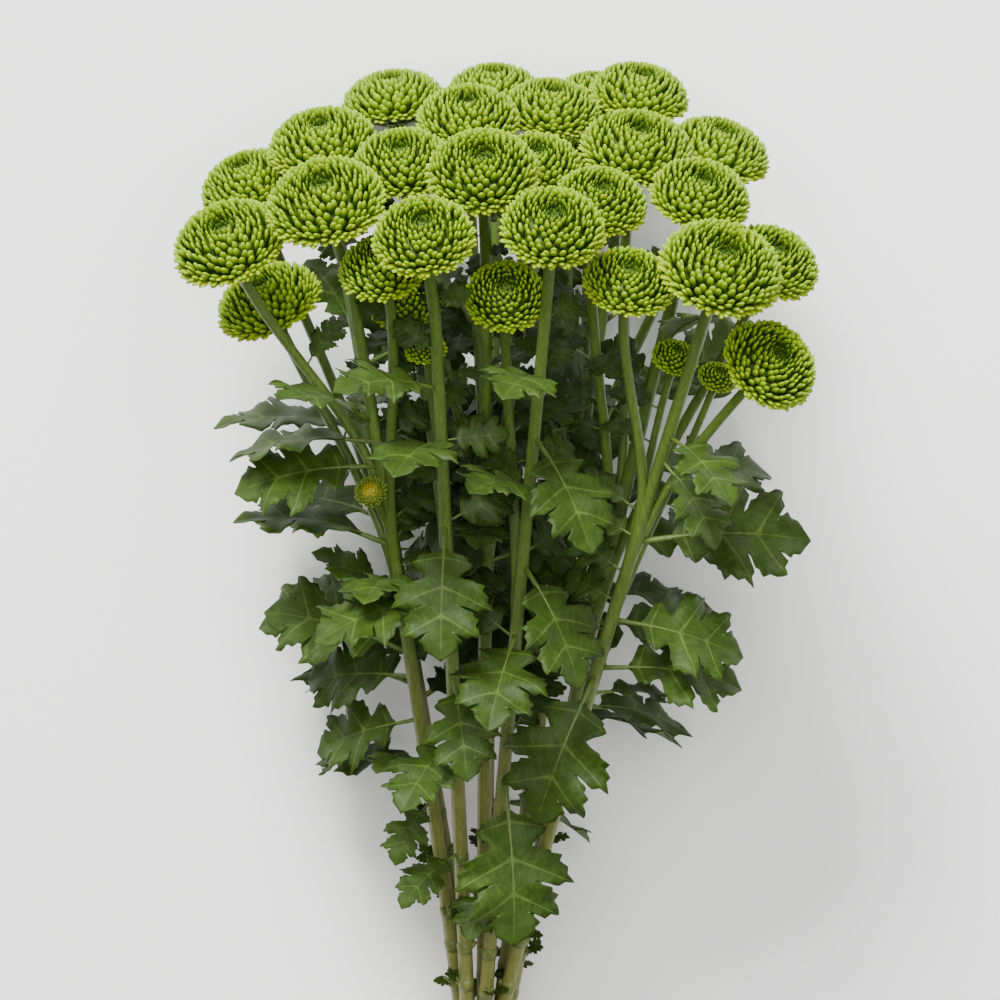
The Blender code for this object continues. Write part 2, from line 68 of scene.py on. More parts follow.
# The layout: the same sizes as the solids, in millimetres and degrees
LAY_TILT = 11.5
CUT_Y = -112.0
BAND_Y = -9.0
BAND_X = -6.0
BAND_WIDTH = 5.0
BAND_CLEARANCE = 0.45
STEM_RADIUS = 3.1
STEM_TAPER = 0.9  # how much thinner a stem is at its top, TAPER_OVER above its cut end
TAPER_OVER = 420
TWIG_RADIUS = 1.9
THIN_TWIG_RADIUS = 1.4
THIN_TWIG_HEAD = 12  # a head of this radius or less has a thin twig
NECK_RADIUS = 4.6
NECK_SHARE = 0.42  # the widest neck, as a share of its head's radius
NECK_RISE = 1.3  # where a neck starts to flare, as a share of its radius below the head
NECK_START = 2.0
RING_RADIUS = 8.8
CUT_SPLAY = 1.5
SPIRAL = 30.0
FAN_POWER = 1.08
FAN_STEPS = 5
NECK_BEND = 42.0
BEND_PULLS = (14, 16)  # how far the bend keeps to the stem's way, and to the head's axis
BEND_SHARES = (0.34, 0.67, 1.0)
TWIG_PULL = 0.36  # how far a twig keeps to its ends' ways, as a share of its length
TWIG_STEPS = 5
NOD = 0.2
BUD_NOD = 0.6
LEAN_PER_MM = 0.0036  # how far a head leans out for each millimetre off the middle, in radians
MOST_LEAN = 1.1
GAP = 0.3
BLADE_THICKNESS = 0.9
SIGHT_ELEVATION = 22.0
PRESS_ROUNDS = 160
PRESS_EASE = 0.3  # share of an overlap that one round clears
PRESS_ACROSS = 0.4
PRESS_DEEP = 1.2
HALF_HEIGHT = 0.56  # of a head when pressed, as a share of its radius

# number: spray, across, along, front, diameter, lean (1 leans out as far as its place asks)
HEADS = {
    1: (5, -38, 331, -89, 40, 0.8),
    2: (5, -4, 336, -81, 37, 0.8),
    3: (2, -66, 339, -12, 42, 0.6),
    4: (1, -63, 336, 44, 45, 0.9),
    5: (1, -94, 323, 42, 43, 0.9),
    6: (2, -91, 322, -22, 38, 1.0),
    7: (1, -85, 284, 2, 41, 1.2),
    8: (9, -36, 345, 28, 38, 0.8),
    9: (9, -5, 346, 44, 42, 1.3),
    10: (3, -25, 336, 70, 38, 1.0),
    11: (1, -43, 318, 56, 33, 1.0),
    12: (9, -7, 350, -6, 39, 1.0),
    13: (4, 17, 338, 67, 39, 1.0),
    14: (4, 2, 302, 46, 31, 2.6),
    15: (7, 39, 336, 46, 35, 1.0),
    16: (8, 47, 317, 64, 34, 0.8),
    17: (8, 77, 324, 76, 46, 0.8),
    18: (7, 97, 315, 42, 36, 1.0),
    19: (7, 69, 336, 34, 38, 0.8),
    20: (7, 49, 344, 8, 43, 0.8),
    21: (6, 76, 332, -35, 40, 1.0),
    22: (5, 21, 346, -33, 38, 1.0),
    23: (6, 52, 345, -43, 38, 0.8),
    24: (9, 10, 344, 19, 35, 1.0),
    25: (6, 28, 318, -62, 30, 1.0),
    26: (8, 97, 286, 72, 37, 1.5),
    27: (8, 78, 270, 44, 15, 1.0),
    28: (8, 64, 276, 41, 18, 1.0),
    30: (3, -34, 292, 26, 28, 1.5),
    31: (6, 37, 330, -92, 36, 0.8),
    32: (3, -27, 280, 41, 16, 1.0),
}
OPEN_BUD = (1, -47, 222, 37, 13, 1.4)

# number: compass of the stem's place round the tie (None is the middle), head it ends in
SPRAYS = {
    1: (180, 4),
    2: (225, 3),
    3: (135, 10),
    4: (90, 13),
    5: (270, 2),
    6: (315, 23),
    7: (0, 19),
    8: (45, 17),
    9: (None, 9),
}
FORK_LOW = 150.0
FORK_STEP = 18.0
FORK_BELOW = 55  # the highest fork, below its head
BUD_FORK_BELOW = 26
BUD_RADIUS = 7.0

# Leaves: along the bunch, compass round the stem (0 to the right, 90 to the front), length of
# the blade, rise along the stem, and how far the upper face turns to the front
LEAVES = {
    1: ((238, 183, 44, 12, -15), (246, 180, 42, 48, 0), (195, 183, 48, 30, -12),
        (150, 190, 46, 28, 25), (165, 130, 34, 55, 0), (181, 62, 34, 15, 0),
        (140, 200, 38, 0, 30), (122, 185, 36, -8, 30), (104, 150, 28, 35, 0),
        (88, 130, 24, -20, 0), (228, 215, 44, 10, 20)),
    2: ((262, 175, 36, 55, 0), (225, 190, 48, 25, 0), (190, 215, 50, 15, 10),
        (155, 185, 46, 10, 20), (125, 220, 48, 10, 0), (90, 205, 40, 15, 0),
        (250, 10, 46, 22, 60), (208, 5, 48, 15, 60), (172, 0, 46, 20, 60), (138, 10, 42, 15, 60)),
    3: ((268, 150, 36, 30, 0), (245, 110, 40, 30, 0), (212, 95, 42, -32, 0), (180, 140, 44, 10, 0),
        (148, 82, 34, -30, 0), (120, 120, 34, 0, 0), (70, 140, 26, -10, 0)),
    4: ((272, 110, 34, 30, 0), (248, 60, 42, -15, 0), (226, 125, 34, 35, 0), (195, 55, 42, -25, 0),
        (165, 100, 42, 0, 0), (104, 75, 52, -48, 0), (60, 110, 24, -15, 0)),
    5: ((255, 240, 42, 35, 0), (222, 280, 50, 25, 0), (185, 240, 52, 20, 0),
        (72, 275, 38, 5, 0),
        (262, 350, 44, 28, 60), (238, 180, 46, 22, 60), (203, 0, 48, 15, 60),
        (168, 180, 46, 15, 60), (130, 0, 42, 10, 60)),
    6: ((255, 310, 44, 35, 0), (222, 335, 50, 25, 0), (185, 295, 50, 20, 0),
        (150, 330, 50, 15, 0), (108, 305, 46, 5, 0),
        (240, 180, 44, 22, 60), (205, 185, 46, 15, 60), (170, 180, 44, 15, 60),
        (130, 180, 40, 15, 60)),
    7: ((272, 60, 34, 40, 0), (252, 352, 40, 42, 10), (220, 10, 46, 15, 0), (190, 345, 46, 20, 10),
        (160, 0, 44, 10, 20), (125, 340, 42, 0, 0)),
    8: ((250, 10, 34, 10, 0), (205, 2, 52, 24, 25), (172, 5, 42, 5, 30), (151, 2, 44, 16, 10),
        (150, 95, 50, -50, 0), (240, 45, 32, -12, 0), (140, 345, 32, 10, -20)),
    9: ((275, 130, 34, 30, 0), (262, 320, 36, 30, 0), (250, 200, 38, 30, 0), (235, 20, 38, 30, 0),
        (200, 110, 38, 10, 0), (170, 240, 36, 10, 0), (145, 60, 36, 5, 0),
        (222, 180, 40, 15, 60), (185, 0, 40, 15, 60), (157, 180, 36, 15, 60)),
}
PETIOLE = 0.26
DROOP = 0.6
CUP = 0.22
TURNS = (0, 14, -14, 28, -28, 44, -44, 62, -62)
LIFTS = (0, 16, -16, 32)
SHRINKS = (1.0, 0.84, 0.7, 0.56)
SAME_PLACE = 0.05 * MM  # a leaf of the solids is found by its tip, to within this
CUP_FALL = 0.9  # how much of the cup the edge gives back, EDGE_AT off the midrib
EDGE_AT = 0.44

# Half of a blade's toothed edge as shares of its length: along, sideways. Each lobe has its
# stretch of the midrib, the number of the edge point that its vein runs to, and its edge.
LOBES = (
    (0.0, 0.25, 5, ((0.0, 0.025), (0.03, 0.06), (0.06, 0.14), (0.085, 0.21), (0.11, 0.215),
                    (0.145, 0.26), (0.185, 0.23), (0.205, 0.20), (0.235, 0.17), (0.26, 0.15))),
    (0.25, 0.50, 8, ((0.26, 0.15), (0.285, 0.20), (0.30, 0.28), (0.325, 0.30), (0.345, 0.38),
                     (0.39, 0.355), (0.435, 0.41), (0.48, 0.395), (0.55, 0.445), (0.535, 0.37),
                     (0.56, 0.32), (0.535, 0.25), (0.52, 0.20), (0.51, 0.17))),
    (0.50, 0.74, 7, ((0.51, 0.17), (0.54, 0.205), (0.565, 0.275), (0.60, 0.28), (0.63, 0.33),
                     (0.68, 0.305), (0.725, 0.335), (0.79, 0.335), (0.775, 0.275),
                     (0.80, 0.225), (0.765, 0.175), (0.75, 0.14))),
    (0.74, 1.0, 6, ((0.75, 0.14), (0.785, 0.155), (0.82, 0.19), (0.85, 0.15), (0.90, 0.14),
                    (0.95, 0.065), (1.0, 0.0))),
)
BLADE_ROWS = 4  # faces between the midrib and the edge
EDGE_STEPS = 2  # points of the smooth edge for each point in the table above
YOUNG_ROWS = 2
YOUNG_EDGE_STEPS = 1
BLADE_SIZE = 50  # length of a blade that is as thick as the settings say

# A blade's waves, as shares of its length, and its midrib
WAVE_TURNS = 17  # radians of wave along a blade
WAVE_SHIFT = 2  # between the waves of its two sides
WAVE_FULL = 0.3  # off the midrib, where the waves have their full height
MIDRIB_RADII = (1.15, 1.0, 0.85, 0.65, 0.5, 0.4, 0.3, 0.2, 0.1)  # in a leaf of MIDRIB_LEAF
MIDRIB_LEAF = 45
MIDRIB_END = 0.92
MIDRIB_SINK = 0.35
MIDRIB_SIDES = 6

# Veins in the skin, in the blade's UV map
VEIN_BASE = 0.15
VEIN_EDGES = (0.004, 0.018)
MIDRIB_EDGES = (0.01, 0.04)
FINE_VEINS = 6  # side veins on each half of a lobe
FINE_SLANT = -0.7
FINE_WIDTH = 0.16
FINE_SHARE = 0.3  # how much of the vein's colour a side vein has

# The small leaves that fill the middle of the bunch, up the stems from YOUNG_FROM
YOUNG_FROM = 112.0
YOUNG_STEP = 12.0
YOUNG_BELOW_HEAD = 14
YOUNG_LENGTHS = (13.0, 30.0)  # the shortest near the heads, the longest lowest
YOUNG_OVER = 190  # the height over which they get shorter
YOUNG_BEHIND = 185.0  # above this height the small leaves stay behind their stem
YOUNG_TRIES = 24
CORE_RADIUS = 20.0  # of the middle of the bunch at YOUNG_FROM
CORE_SPREAD = 0.22  # how much wider the middle grows for each millimetre upwards
CORE_FLOOR = 12  # how far the small leaves' tips stay above the floor
INNER_SHADE = 0.5  # painted shade: how bright the leaves in the middle of the bunch are painted, against the outer ones

# The joints of the lower stems, where the leaves were stripped
FIRST_JOINT = 12
LAST_JOINT_Y = 75
JOINT_TURN = 137.5
JOINT_CLEAR = 7  # from the middle of the band
SWELLING = ((-2.4, 0.98), (-0.6, 1.07), (0.8, 1.09), (2.6, 0.98))  # rise, share of the radius
SWELLING_SIDES = 14
TORN_RADII = (1.5, 1.3)
TUFT_SPREADS = (-35, 5, 45)
TUFT_FACING = 20
TUFT_ROOT = 0.9  # off the stem's middle, as a share of its radius
STEM_SHADES = 440  # millimetres over which a stem goes from its old to its fresh colour
FRESHER = 0.22  # how much fresher stalks and joints are than the stem beside them

# The heads, as shares of their radius, and their florets
WIDEST_AT = 0.38
DIMPLE_ANGLE = 12
GOLDEN_ANGLE = math.radians(137.508)
FIRST_ANGLE = 2
LAST_ANGLE = 106.0
BUD_LAST_ANGLE = 75.0
ANGLE_POWER = 0.88
RAGGED = 0.05
OUTER_FROM = 0.75
FLORET_LENGTHS = (0.3, 0.22)  # in the eye, and how much longer at the rim
FLORET_DEPTH = 0.75
FLORET_SIDES = 5
FLORET_ROOT = (0.6, 0.42, 1.0)
FLORET_RINGS = ((0.35, 1.4), (0.66, 1.18), (0.9, 0.58))  # height, width against the ring before
FLORET_BOW = 0.9
TILT_START = -6  # lean of the middle florets, then for each degree down the dome, then the rim's
TILT_GROWTH = 0.5
RIM_TILT = 46
RIM_TILT_FROM = 45
RIM_TILT_OVER = 50
BRACT_RINGS = ((15, 0.62, 0.13), (12, 0.46, 0.06))  # count, how far out, how high
BRACT_WIDTH = 5.72
BRACT_DEPTH = 0.3
BRACT_AGE = 1.2
HEART_SIZE = (0.7, 0.7, 0.38)
HEART_HEIGHT = 0.36
HEART_AGE = 0.3
HEART_TONE = 0.9
ON_THE_FLOOR = 0.05

# Between which ages, or shares of a floret, its colours change
RIM_AGES = (0.6, 1.0)
# The lower part of each floret, up to these shares, is painted dark as the shade deep between the
# florets
SHADE_TO_TIP_SHARES = (0.56, 0.97)
EYE_AGES = (0.0, 0.16)
DISC_AGES = (0.2, 0.34)
BRACT_AGES = (1.05, 1.1)
DISC_YELLOW = (0.42, 0.33, 0.01)
DISC_GREEN = (0.12, 0.17, 0.015)
STEM_AGES = (0.25, 0.8)

# The stage, in metres and watts: name, place, size, power
LIGHTS = (
    ("key", (-0.6, 2.4, 1.7), 1.0, 260),
    ("fill", (1.6, -0.4, 1.8), 1.6, 14),
    ("top", (0.0, 1.0, 3.4), 2.4, 130),
)
LIGHTS_AIM = (0.0, 0.05, 0.1)
SKY_STRENGTH = 0.35
FLOOR_SIZE = 6.0
FLOOR_DROP = 0.0004
SENSOR = 36.0
SEES_TO = 20.0


class FlowerSettings(PropertyGroup):
    density: FloatProperty(
        name="Florets per mm", description="Florets in a head for each mm of its radius",
        default=18.0)
    plumpness: FloatProperty(
        name="Plumpness", description="Width of a floret as a share of its own space",
        default=1.02, subtype="FACTOR")
    dimple: FloatProperty(
        name="Dimple", description="Depth of the hollow in the middle, as a share of the radius",
        default=0.2, subtype="FACTOR")
    tip: FloatVectorProperty(
        name="Tip", description="Colour of a floret's tip", default=(0.19, 0.295, 0.0),
        subtype="COLOR")
    rim: FloatVectorProperty(
        name="Rim tip", description="Colour of the outermost florets' tips",
        default=(0.25, 0.35, 0.0), subtype="COLOR")
    # Painted shade: the throat colour darkens the lower part of every floret and the heart, where
    # shade falls deep between the florets
    throat_shade: FloatVectorProperty(
        name="Throat", description="Colour deep between the florets",
        default=(0.032, 0.075, 0.0), subtype="COLOR")
    eye: FloatVectorProperty(
        name="Eye", description="Colour of the unopened florets in the middle",
        default=(0.02, 0.05, 0.002), subtype="COLOR")
    bract: FloatVectorProperty(
        name="Bract", description="Colour of the scales under a head",
        default=(0.14, 0.18, 0.035), subtype="COLOR")


class StemSettings(PropertyGroup):
    sides: IntProperty(
        name="Sides", description="Sides of a stem: every second one is a rib", default=12)
    rib: FloatProperty(
        name="Rib", description="Height of a rib as a share of the stem's radius",
        default=0.07, subtype="FACTOR")
    fresh: FloatVectorProperty(
        name="Fresh", description="Colour of the stems near the heads",
        default=(0.062, 0.105, 0.01), subtype="COLOR")
    old: FloatVectorProperty(
        name="Old", description="Colour of the stems near the cut ends",
        default=(0.15, 0.155, 0.035), subtype="COLOR")
    pith: FloatVectorProperty(
        name="Pith", description="Colour of a cut end", default=(0.55, 0.56, 0.32),
        subtype="COLOR")


class LeafSettings(PropertyGroup):
    thickness: FloatProperty(
        name="Thickness", description="Thickness of a blade, in millimetres", default=0.45)
    wave: FloatProperty(
        name="Wave", description="Height of a blade's waves as a share of its length",
        default=0.04)
    upper: FloatVectorProperty(
        name="Upper face", description="Colour of a blade's upper face",
        default=(0.022, 0.045, 0.004), subtype="COLOR")
    under: FloatVectorProperty(
        name="Underside", description="Colour of a blade's underside",
        default=(0.13, 0.165, 0.075), subtype="COLOR")
    vein: FloatVectorProperty(
        name="Vein", description="Colour of the veins on the upper face",
        default=(0.052, 0.086, 0.014), subtype="COLOR")


class BandSettings(PropertyGroup):
    strand: FloatProperty(
        name="Strand", description="Thickness of the rubber strand, in millimetres", default=1.3)
    colour: FloatVectorProperty(
        name="Rubber", description="Colour of the rubber band", default=(0.62, 0.45, 0.22),
        subtype="COLOR")


class StageSettings(PropertyGroup):
    distance: FloatProperty(
        name="Distance", description="From the camera to the bunch", default=3.0,
        subtype="DISTANCE", unit="LENGTH")
    frame_width: FloatProperty(
        name="Frame width", description="Width that the picture takes in at the bunch",
        default=0.378, subtype="DISTANCE", unit="LENGTH")
    elevation: FloatProperty(
        name="Elevation", description="Of the camera above the bunch's own level",
        default=math.radians(22.0), subtype="ANGLE")
    floor: FloatVectorProperty(
        name="Floor", description="Colour of the floor", default=(0.88, 0.88, 0.87),
        subtype="COLOR")


# Where things go: the rules that the solids follow

def polar(radius, degrees):
    """A point in the cross-section of the bunch: X across and Z to the front."""
    angle = math.radians(degrees)
    return Vector((radius * math.cos(angle), 0.0, radius * math.sin(angle)))


def tilted(degrees):
    """The way to the front of the bunch, tilted towards the heads."""
    angle = math.radians(degrees)
    return Vector((0.0, math.sin(angle), math.cos(angle)))


def head_axis(place, lean):
    out = Vector((place.x, 0.0, place.z))
    tilt = min(LEAN_PER_MM * out.length * lean, MOST_LEAN)
    axis = Vector((0.0, math.cos(tilt), NOD)) + out.normalized() * math.sin(tilt)
    return axis.normalized()


def reach(head, direction):
    """How far a head reaches from its middle towards a direction."""
    along = direction.dot(head["axis"])
    wide = head["radius"] ** 2 * (1 - along ** 2)
    tall = (HALF_HEIGHT * head["radius"]) ** 2 * along ** 2
    return math.sqrt(wide + tall) + 0.5 * GAP


def pressed_apart(heads):
    """Heads that would share space push each other apart, mostly along the line of sight."""
    view, up = tilted(SIGHT_ELEVATION), tilted(LAY_TILT)
    above = STEM_RADIUS - min(cut_end(number).dot(up) for number in SPRAYS)
    order = sorted(heads)
    for _ in range(PRESS_ROUNDS):
        for i, a in enumerate(order):
            for b in order[i + 1:]:
                first, second = heads[a], heads[b]
                away = second["centre"] - first["centre"]
                direction = away.normalized()
                need = reach(first, direction) + reach(second, direction) - away.length
                if need <= 0:
                    continue
                depth = direction.dot(view) * view
                push = (direction - depth) * PRESS_ACROSS + depth * PRESS_DEEP
                second["centre"] += push * PRESS_EASE * need
                first["centre"] -= push * PRESS_EASE * need
        for head in heads.values():
            height = head["centre"].dot(up) + above
            sunk = reach(head, up) - 0.5 * GAP - height
            if sunk > 0:
                head["centre"] += up * sunk
    return heads


def placed_heads():
    heads = {}
    for number, (spray, across, along, front, size, lean) in HEADS.items():
        place = Vector((across, along, front))
        axis = head_axis(place, lean)
        heads[number] = {"spray": spray, "centre": place, "axis": axis, "radius": size / 2}
    heads = pressed_apart(heads)
    spray, *place, size, lean = OPEN_BUD
    place = Vector(place)
    axis = (head_axis(place, lean) + Vector((0.0, 0.0, BUD_NOD))).normalized()
    heads["bud"] = {"spray": spray, "centre": place, "axis": axis, "radius": size / 2}
    return heads


def band_place(number):
    compass = SPRAYS[number][0]
    middle = Vector((BAND_X, BAND_Y, 0.0))
    return middle if compass is None else middle + polar(RING_RADIUS, compass)


def cut_end(number):
    compass = SPRAYS[number][0]
    middle = Vector((BAND_X, CUT_Y, 0.0))
    if compass is None:
        return middle
    return middle + polar(RING_RADIUS * CUT_SPLAY, compass - SPIRAL)


def foot(head):
    """Where a neck meets the underside of its head."""
    return head["centre"] - head["axis"] * (0.5 * head["radius"])


def bezier(points, share):
    a, b, c, d = points
    rest = 1 - share
    return (a * rest ** 3 + b * 3 * rest ** 2 * share
            + c * 3 * rest * share ** 2 + d * share ** 3)


def main_stem(number, head):
    """Points up one stem: cut end, band, fan, and the bend into its head."""
    below, band = cut_end(number), band_place(number)
    points = [below.lerp(band, share) for share in (0.0, 0.5, 1.0)]
    fan = band + Vector((0.0, BAND_WIDTH, 0.0))
    top = foot(head)
    bend = top - head["axis"] * NECK_BEND
    for step in range(FAN_STEPS + 1):
        share = step / FAN_STEPS
        place = fan.lerp(bend, share ** FAN_POWER)
        place.y = fan.y + (bend.y - fan.y) * share
        points.append(place)
    before = (points[-1] - points[-2]).normalized()
    keep, turn = BEND_PULLS
    corner = [points[-1], points[-1] + before * keep, top - head["axis"] * turn, top]
    return points + [bezier(corner, share) for share in BEND_SHARES]


def at_height(points, y):
    """The point of a path at a height along the bunch, and the path's direction there."""
    for low, high in zip(points, points[1:]):
        if low.y <= y <= high.y:
            share = (y - low.y) / (high.y - low.y)
            return low.lerp(high, share), (high - low).normalized()
    return points[-1].copy(), (points[-1] - points[-2]).normalized()


def side_twig(stem, head, fork_y):
    start, along = at_height(stem, fork_y)
    top = foot(head)
    pull = (top - start).length * TWIG_PULL
    corner = [start, start + along * pull, top - head["axis"] * pull, top]
    return [bezier(corner, step / TWIG_STEPS) for step in range(TWIG_STEPS + 1)]


def spray_paths(number, heads):
    """The main stem and the side twigs of one spray."""
    leader = SPRAYS[number][1]
    stem = main_stem(number, heads[leader])
    twigs = {leader: stem}
    others = [n for n in heads if heads[n]["spray"] == number and n != leader]
    for step, other in enumerate(sorted(others, key=lambda n: heads[n]["centre"].y)):
        fork = min(FORK_LOW + FORK_STEP * step, foot(heads[other]).y - FORK_BELOW)
        if heads[other]["radius"] < BUD_RADIUS:
            fork = foot(heads[other]).y - BUD_FORK_BELOW
        twigs[other] = side_twig(stem, heads[other], fork)
    return stem, twigs


def stem_radius_at(y):
    return STEM_RADIUS - STEM_TAPER * min(max((y - CUT_Y) / TAPER_OVER, 0.0), 1.0)


def leaf_bend(point, length):
    """Bends a flat leaf's point: down along its length and up from the midrib."""
    along, side, height = point
    curl = DROOP / length
    angle = curl * max(along, 0.0)
    reach_out = math.sin(angle) / curl + min(along, 0.0)
    fall = (1 - math.cos(angle)) / curl
    lift = height + CUP * abs(side) - CUP_FALL * CUP * side ** 2 / (EDGE_AT * length)
    return Vector((reach_out + lift * math.sin(angle), side, -fall + lift * math.cos(angle)))


def on_the_leaf(way, flat, length):
    """Where a point of the flat blade comes to on its leaf, past the stalk."""
    return way @ (leaf_bend(flat, length) + Vector((PETIOLE * length, 0.0, 0.0)))


def leaf_frame(stem_point, stem_along, compass, rise, facing):
    """A leaf's matrix: X along its length, Z up out of its upper face."""
    out = polar(1.0, compass)
    out = (out - stem_along * out.dot(stem_along)).normalized()
    lift = math.radians(rise)
    along = out * math.cos(lift) + stem_along * math.sin(lift)
    up = stem_along * math.cos(lift) - out * math.sin(lift)
    side = up.cross(along)
    roll = math.radians(facing if side.z > 0 else -facing)
    up = up * math.cos(roll) + side * math.sin(roll)
    side = up.cross(along)
    turn = Matrix((along, side, up)).transposed()
    return Matrix.Translation(stem_point) @ turn.to_4x4()


def leaf_ways(stem, leaf):
    """Every way that the leaf may stand in the solids, the best first."""
    y, compass, length, rise, facing = leaf
    point, along = at_height(stem, y)
    for shrink in SHRINKS:
        for lift in LIFTS:
            for turn in TURNS:
                way = leaf_frame(point, along, compass + turn, rise + lift, facing)
                yield way, length * shrink


def bunch_matrix():
    """From the bunch's own millimetres to the model's metres, found from the band's place."""
    turn = Matrix.Rotation(math.radians(LAY_TILT), 4, "X") @ Matrix.Scale(MM, 4)
    low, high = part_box("rubber_band")
    shift = (low + high) / 2 - turn @ Vector((BAND_X, BAND_Y, 0.0))
    return Matrix.Translation(shift) @ turn


def found_leaf(stem, leaf, tips, to_model):
    """The way that the leaf stands in the solids, found by where its tip is, or None."""
    for way, length in leaf_ways(stem, leaf):
        tip = on_the_leaf(way, Vector((length, 0.0, 0.5 * BLADE_THICKNESS)), length)
        if tips.find(to_model @ tip)[2] < SAME_PLACE:
            return way, length
    return None


def corner_tree(node):
    """A search tree of a CAD node's corners."""
    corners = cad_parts[node].data.vertices
    tree = KDTree(len(corners))
    for index, corner in enumerate(corners):
        tree.insert(corner.co, index)
    tree.balance()
    return tree


# Shaders

def wired(tree, value, socket):
    """Puts a plain value, a plain colour or another node's output into a socket."""
    if isinstance(value, bpy.types.NodeSocket):
        tree.links.new(value, socket)
    elif socket.type == "RGBA":
        socket.default_value = (*value, 1.0)
    else:
        socket.default_value = value


def maths(tree, operation, *values):
    """The output of a maths node over plain values and other nodes' outputs."""
    node = tree.nodes.new("ShaderNodeMath")
    node.operation = operation
    for value, socket in zip(values, node.inputs):
        wired(tree, value, socket)
    return node.outputs[0]


def scaled(tree, colour, factor):
    """A colour times another node's number."""
    node = tree.nodes.new("ShaderNodeVectorMath")
    node.operation = "SCALE"
    wired(tree, colour, node.inputs[0])
    wired(tree, factor, node.inputs["Scale"])
    return node.outputs[0]


def attribute(tree, name):
    found = tree.nodes.new("ShaderNodeAttribute")
    found.attribute_name = name
    return found.outputs["Fac"]


def ramped(tree, value, low, high, bottom=0.0, kind="SMOOTHSTEP"):
    """The bottom value at low, 1 at high, and smooth or LINEAR between."""
    ramp = tree.nodes.new("ShaderNodeMapRange")
    ramp.interpolation_type = kind
    ramp.inputs["From Min"].default_value = low
    ramp.inputs["From Max"].default_value = high
    ramp.inputs["To Min"].default_value = bottom
    wired(tree, value, ramp.inputs["Value"])
    return ramp.outputs["Result"]


def blended(tree, share, first, second):
    """A colour between two, each a plain colour or another node's output."""
    mix = tree.nodes.new("ShaderNodeMix")
    mix.data_type = "RGBA"
    wired(tree, share, mix.inputs["Factor"])
    wired(tree, first, mix.inputs[6])
    wired(tree, second, mix.inputs[7])
    return mix.outputs[2]


def new_material(name, roughness, specular):
    """A material with its node tree and its shader."""
    made = bpy.data.materials.new(name)
    made.use_nodes = True
    shader = made.node_tree.nodes["Principled BSDF"]
    shader.inputs["Roughness"].default_value = roughness
    shader.inputs["Specular IOR Level"].default_value = specular
    return made, made.node_tree, shader


def plain_material(name, roughness, specular, colour):
    made, tree, shader = new_material(name, roughness, specular)
    wired(tree, colour, shader.inputs["Base Color"])
    return made


def skin_material(name, roughness, specular, mottle, scale, relief):
    """A material with the mottling, streaks and fine relief of fresh plant skin.

    Returns the material, its node tree, and a function that gives the skin its colour.
    """
    made, tree, shader = new_material(name, roughness, specular)
    place = tree.nodes.new("ShaderNodeTexCoord")
    stretched = tree.nodes.new("ShaderNodeVectorMath")
    stretched.operation = "MULTIPLY"
    wired(tree, place.outputs["Object"], stretched.inputs[0])
    wired(tree, scale, stretched.inputs[1])
    noise = tree.nodes.new("ShaderNodeTexNoise")
    noise.inputs["Scale"].default_value = 1.0
    noise.inputs["Detail"].default_value = 3.0
    wired(tree, stretched.outputs[0], noise.inputs["Vector"])
    spread = ramped(tree, noise.outputs["Fac"], 0.3, 0.7, -1.0, "LINEAR")
    amount = maths(tree, "MULTIPLY_ADD", spread, mottle, 1.0)
    bump = tree.nodes.new("ShaderNodeBump")
    bump.inputs["Distance"].default_value = 0.0004
    wired(tree, relief, bump.inputs["Strength"])
    wired(tree, noise.outputs["Fac"], bump.inputs["Height"])
    wired(tree, bump.outputs["Normal"], shader.inputs["Normal"])

    def colour_it(colour):
        wired(tree, scaled(tree, colour, amount), shader.inputs["Base Color"])

    return made, tree, colour_it


def floret_material(settings):
    """Dark green painted shade deep down between the florets, yellow-green at the tips, darker in
    the eye and yellower at the rim.
    """
    made, tree, shader = new_material("floret", 0.55, 0.25)
    shader.inputs["Subsurface Weight"].default_value = 0.08
    shader.inputs["Subsurface Scale"].default_value = 0.002
    shader.inputs["Subsurface Radius"].default_value = (0.6, 0.9, 0.2)
    along, age = attribute(tree, "along"), attribute(tree, "age")
    colour = blended(tree, ramped(tree, age, *RIM_AGES), settings.tip, settings.rim)
    # Painted shade: each floret darkens to the throat colour towards its root
    colour = blended(tree, ramped(tree, along, *SHADE_TO_TIP_SHARES), settings.throat_shade, colour)
    colour = blended(tree, ramped(tree, age, *EYE_AGES), settings.eye, colour)
    colour = blended(tree, ramped(tree, age, *BRACT_AGES), colour, settings.bract)
    wired(tree, scaled(tree, colour, attribute(tree, "tone_and_shade")), shader.inputs["Base Color"])
    return made


def bud_material(settings):
    made, tree, shader = new_material("bud", 0.6, 0.3)
    age = attribute(tree, "age")
    disc = blended(tree, ramped(tree, age, *DISC_AGES), DISC_YELLOW, DISC_GREEN)
    colour = blended(tree, ramped(tree, age, *BRACT_AGES), disc, settings.bract)
    wired(tree, colour, shader.inputs["Base Color"])
    return made


def stem_material(settings):
    made, tree, colour_it = skin_material("stem", 0.5, 0.4, 0.22, (900.0, 45.0, 900.0), 0.35)
    share = ramped(tree, attribute(tree, "height"), *STEM_AGES)
    colour_it(blended(tree, share, settings.old, settings.fresh))
    return made


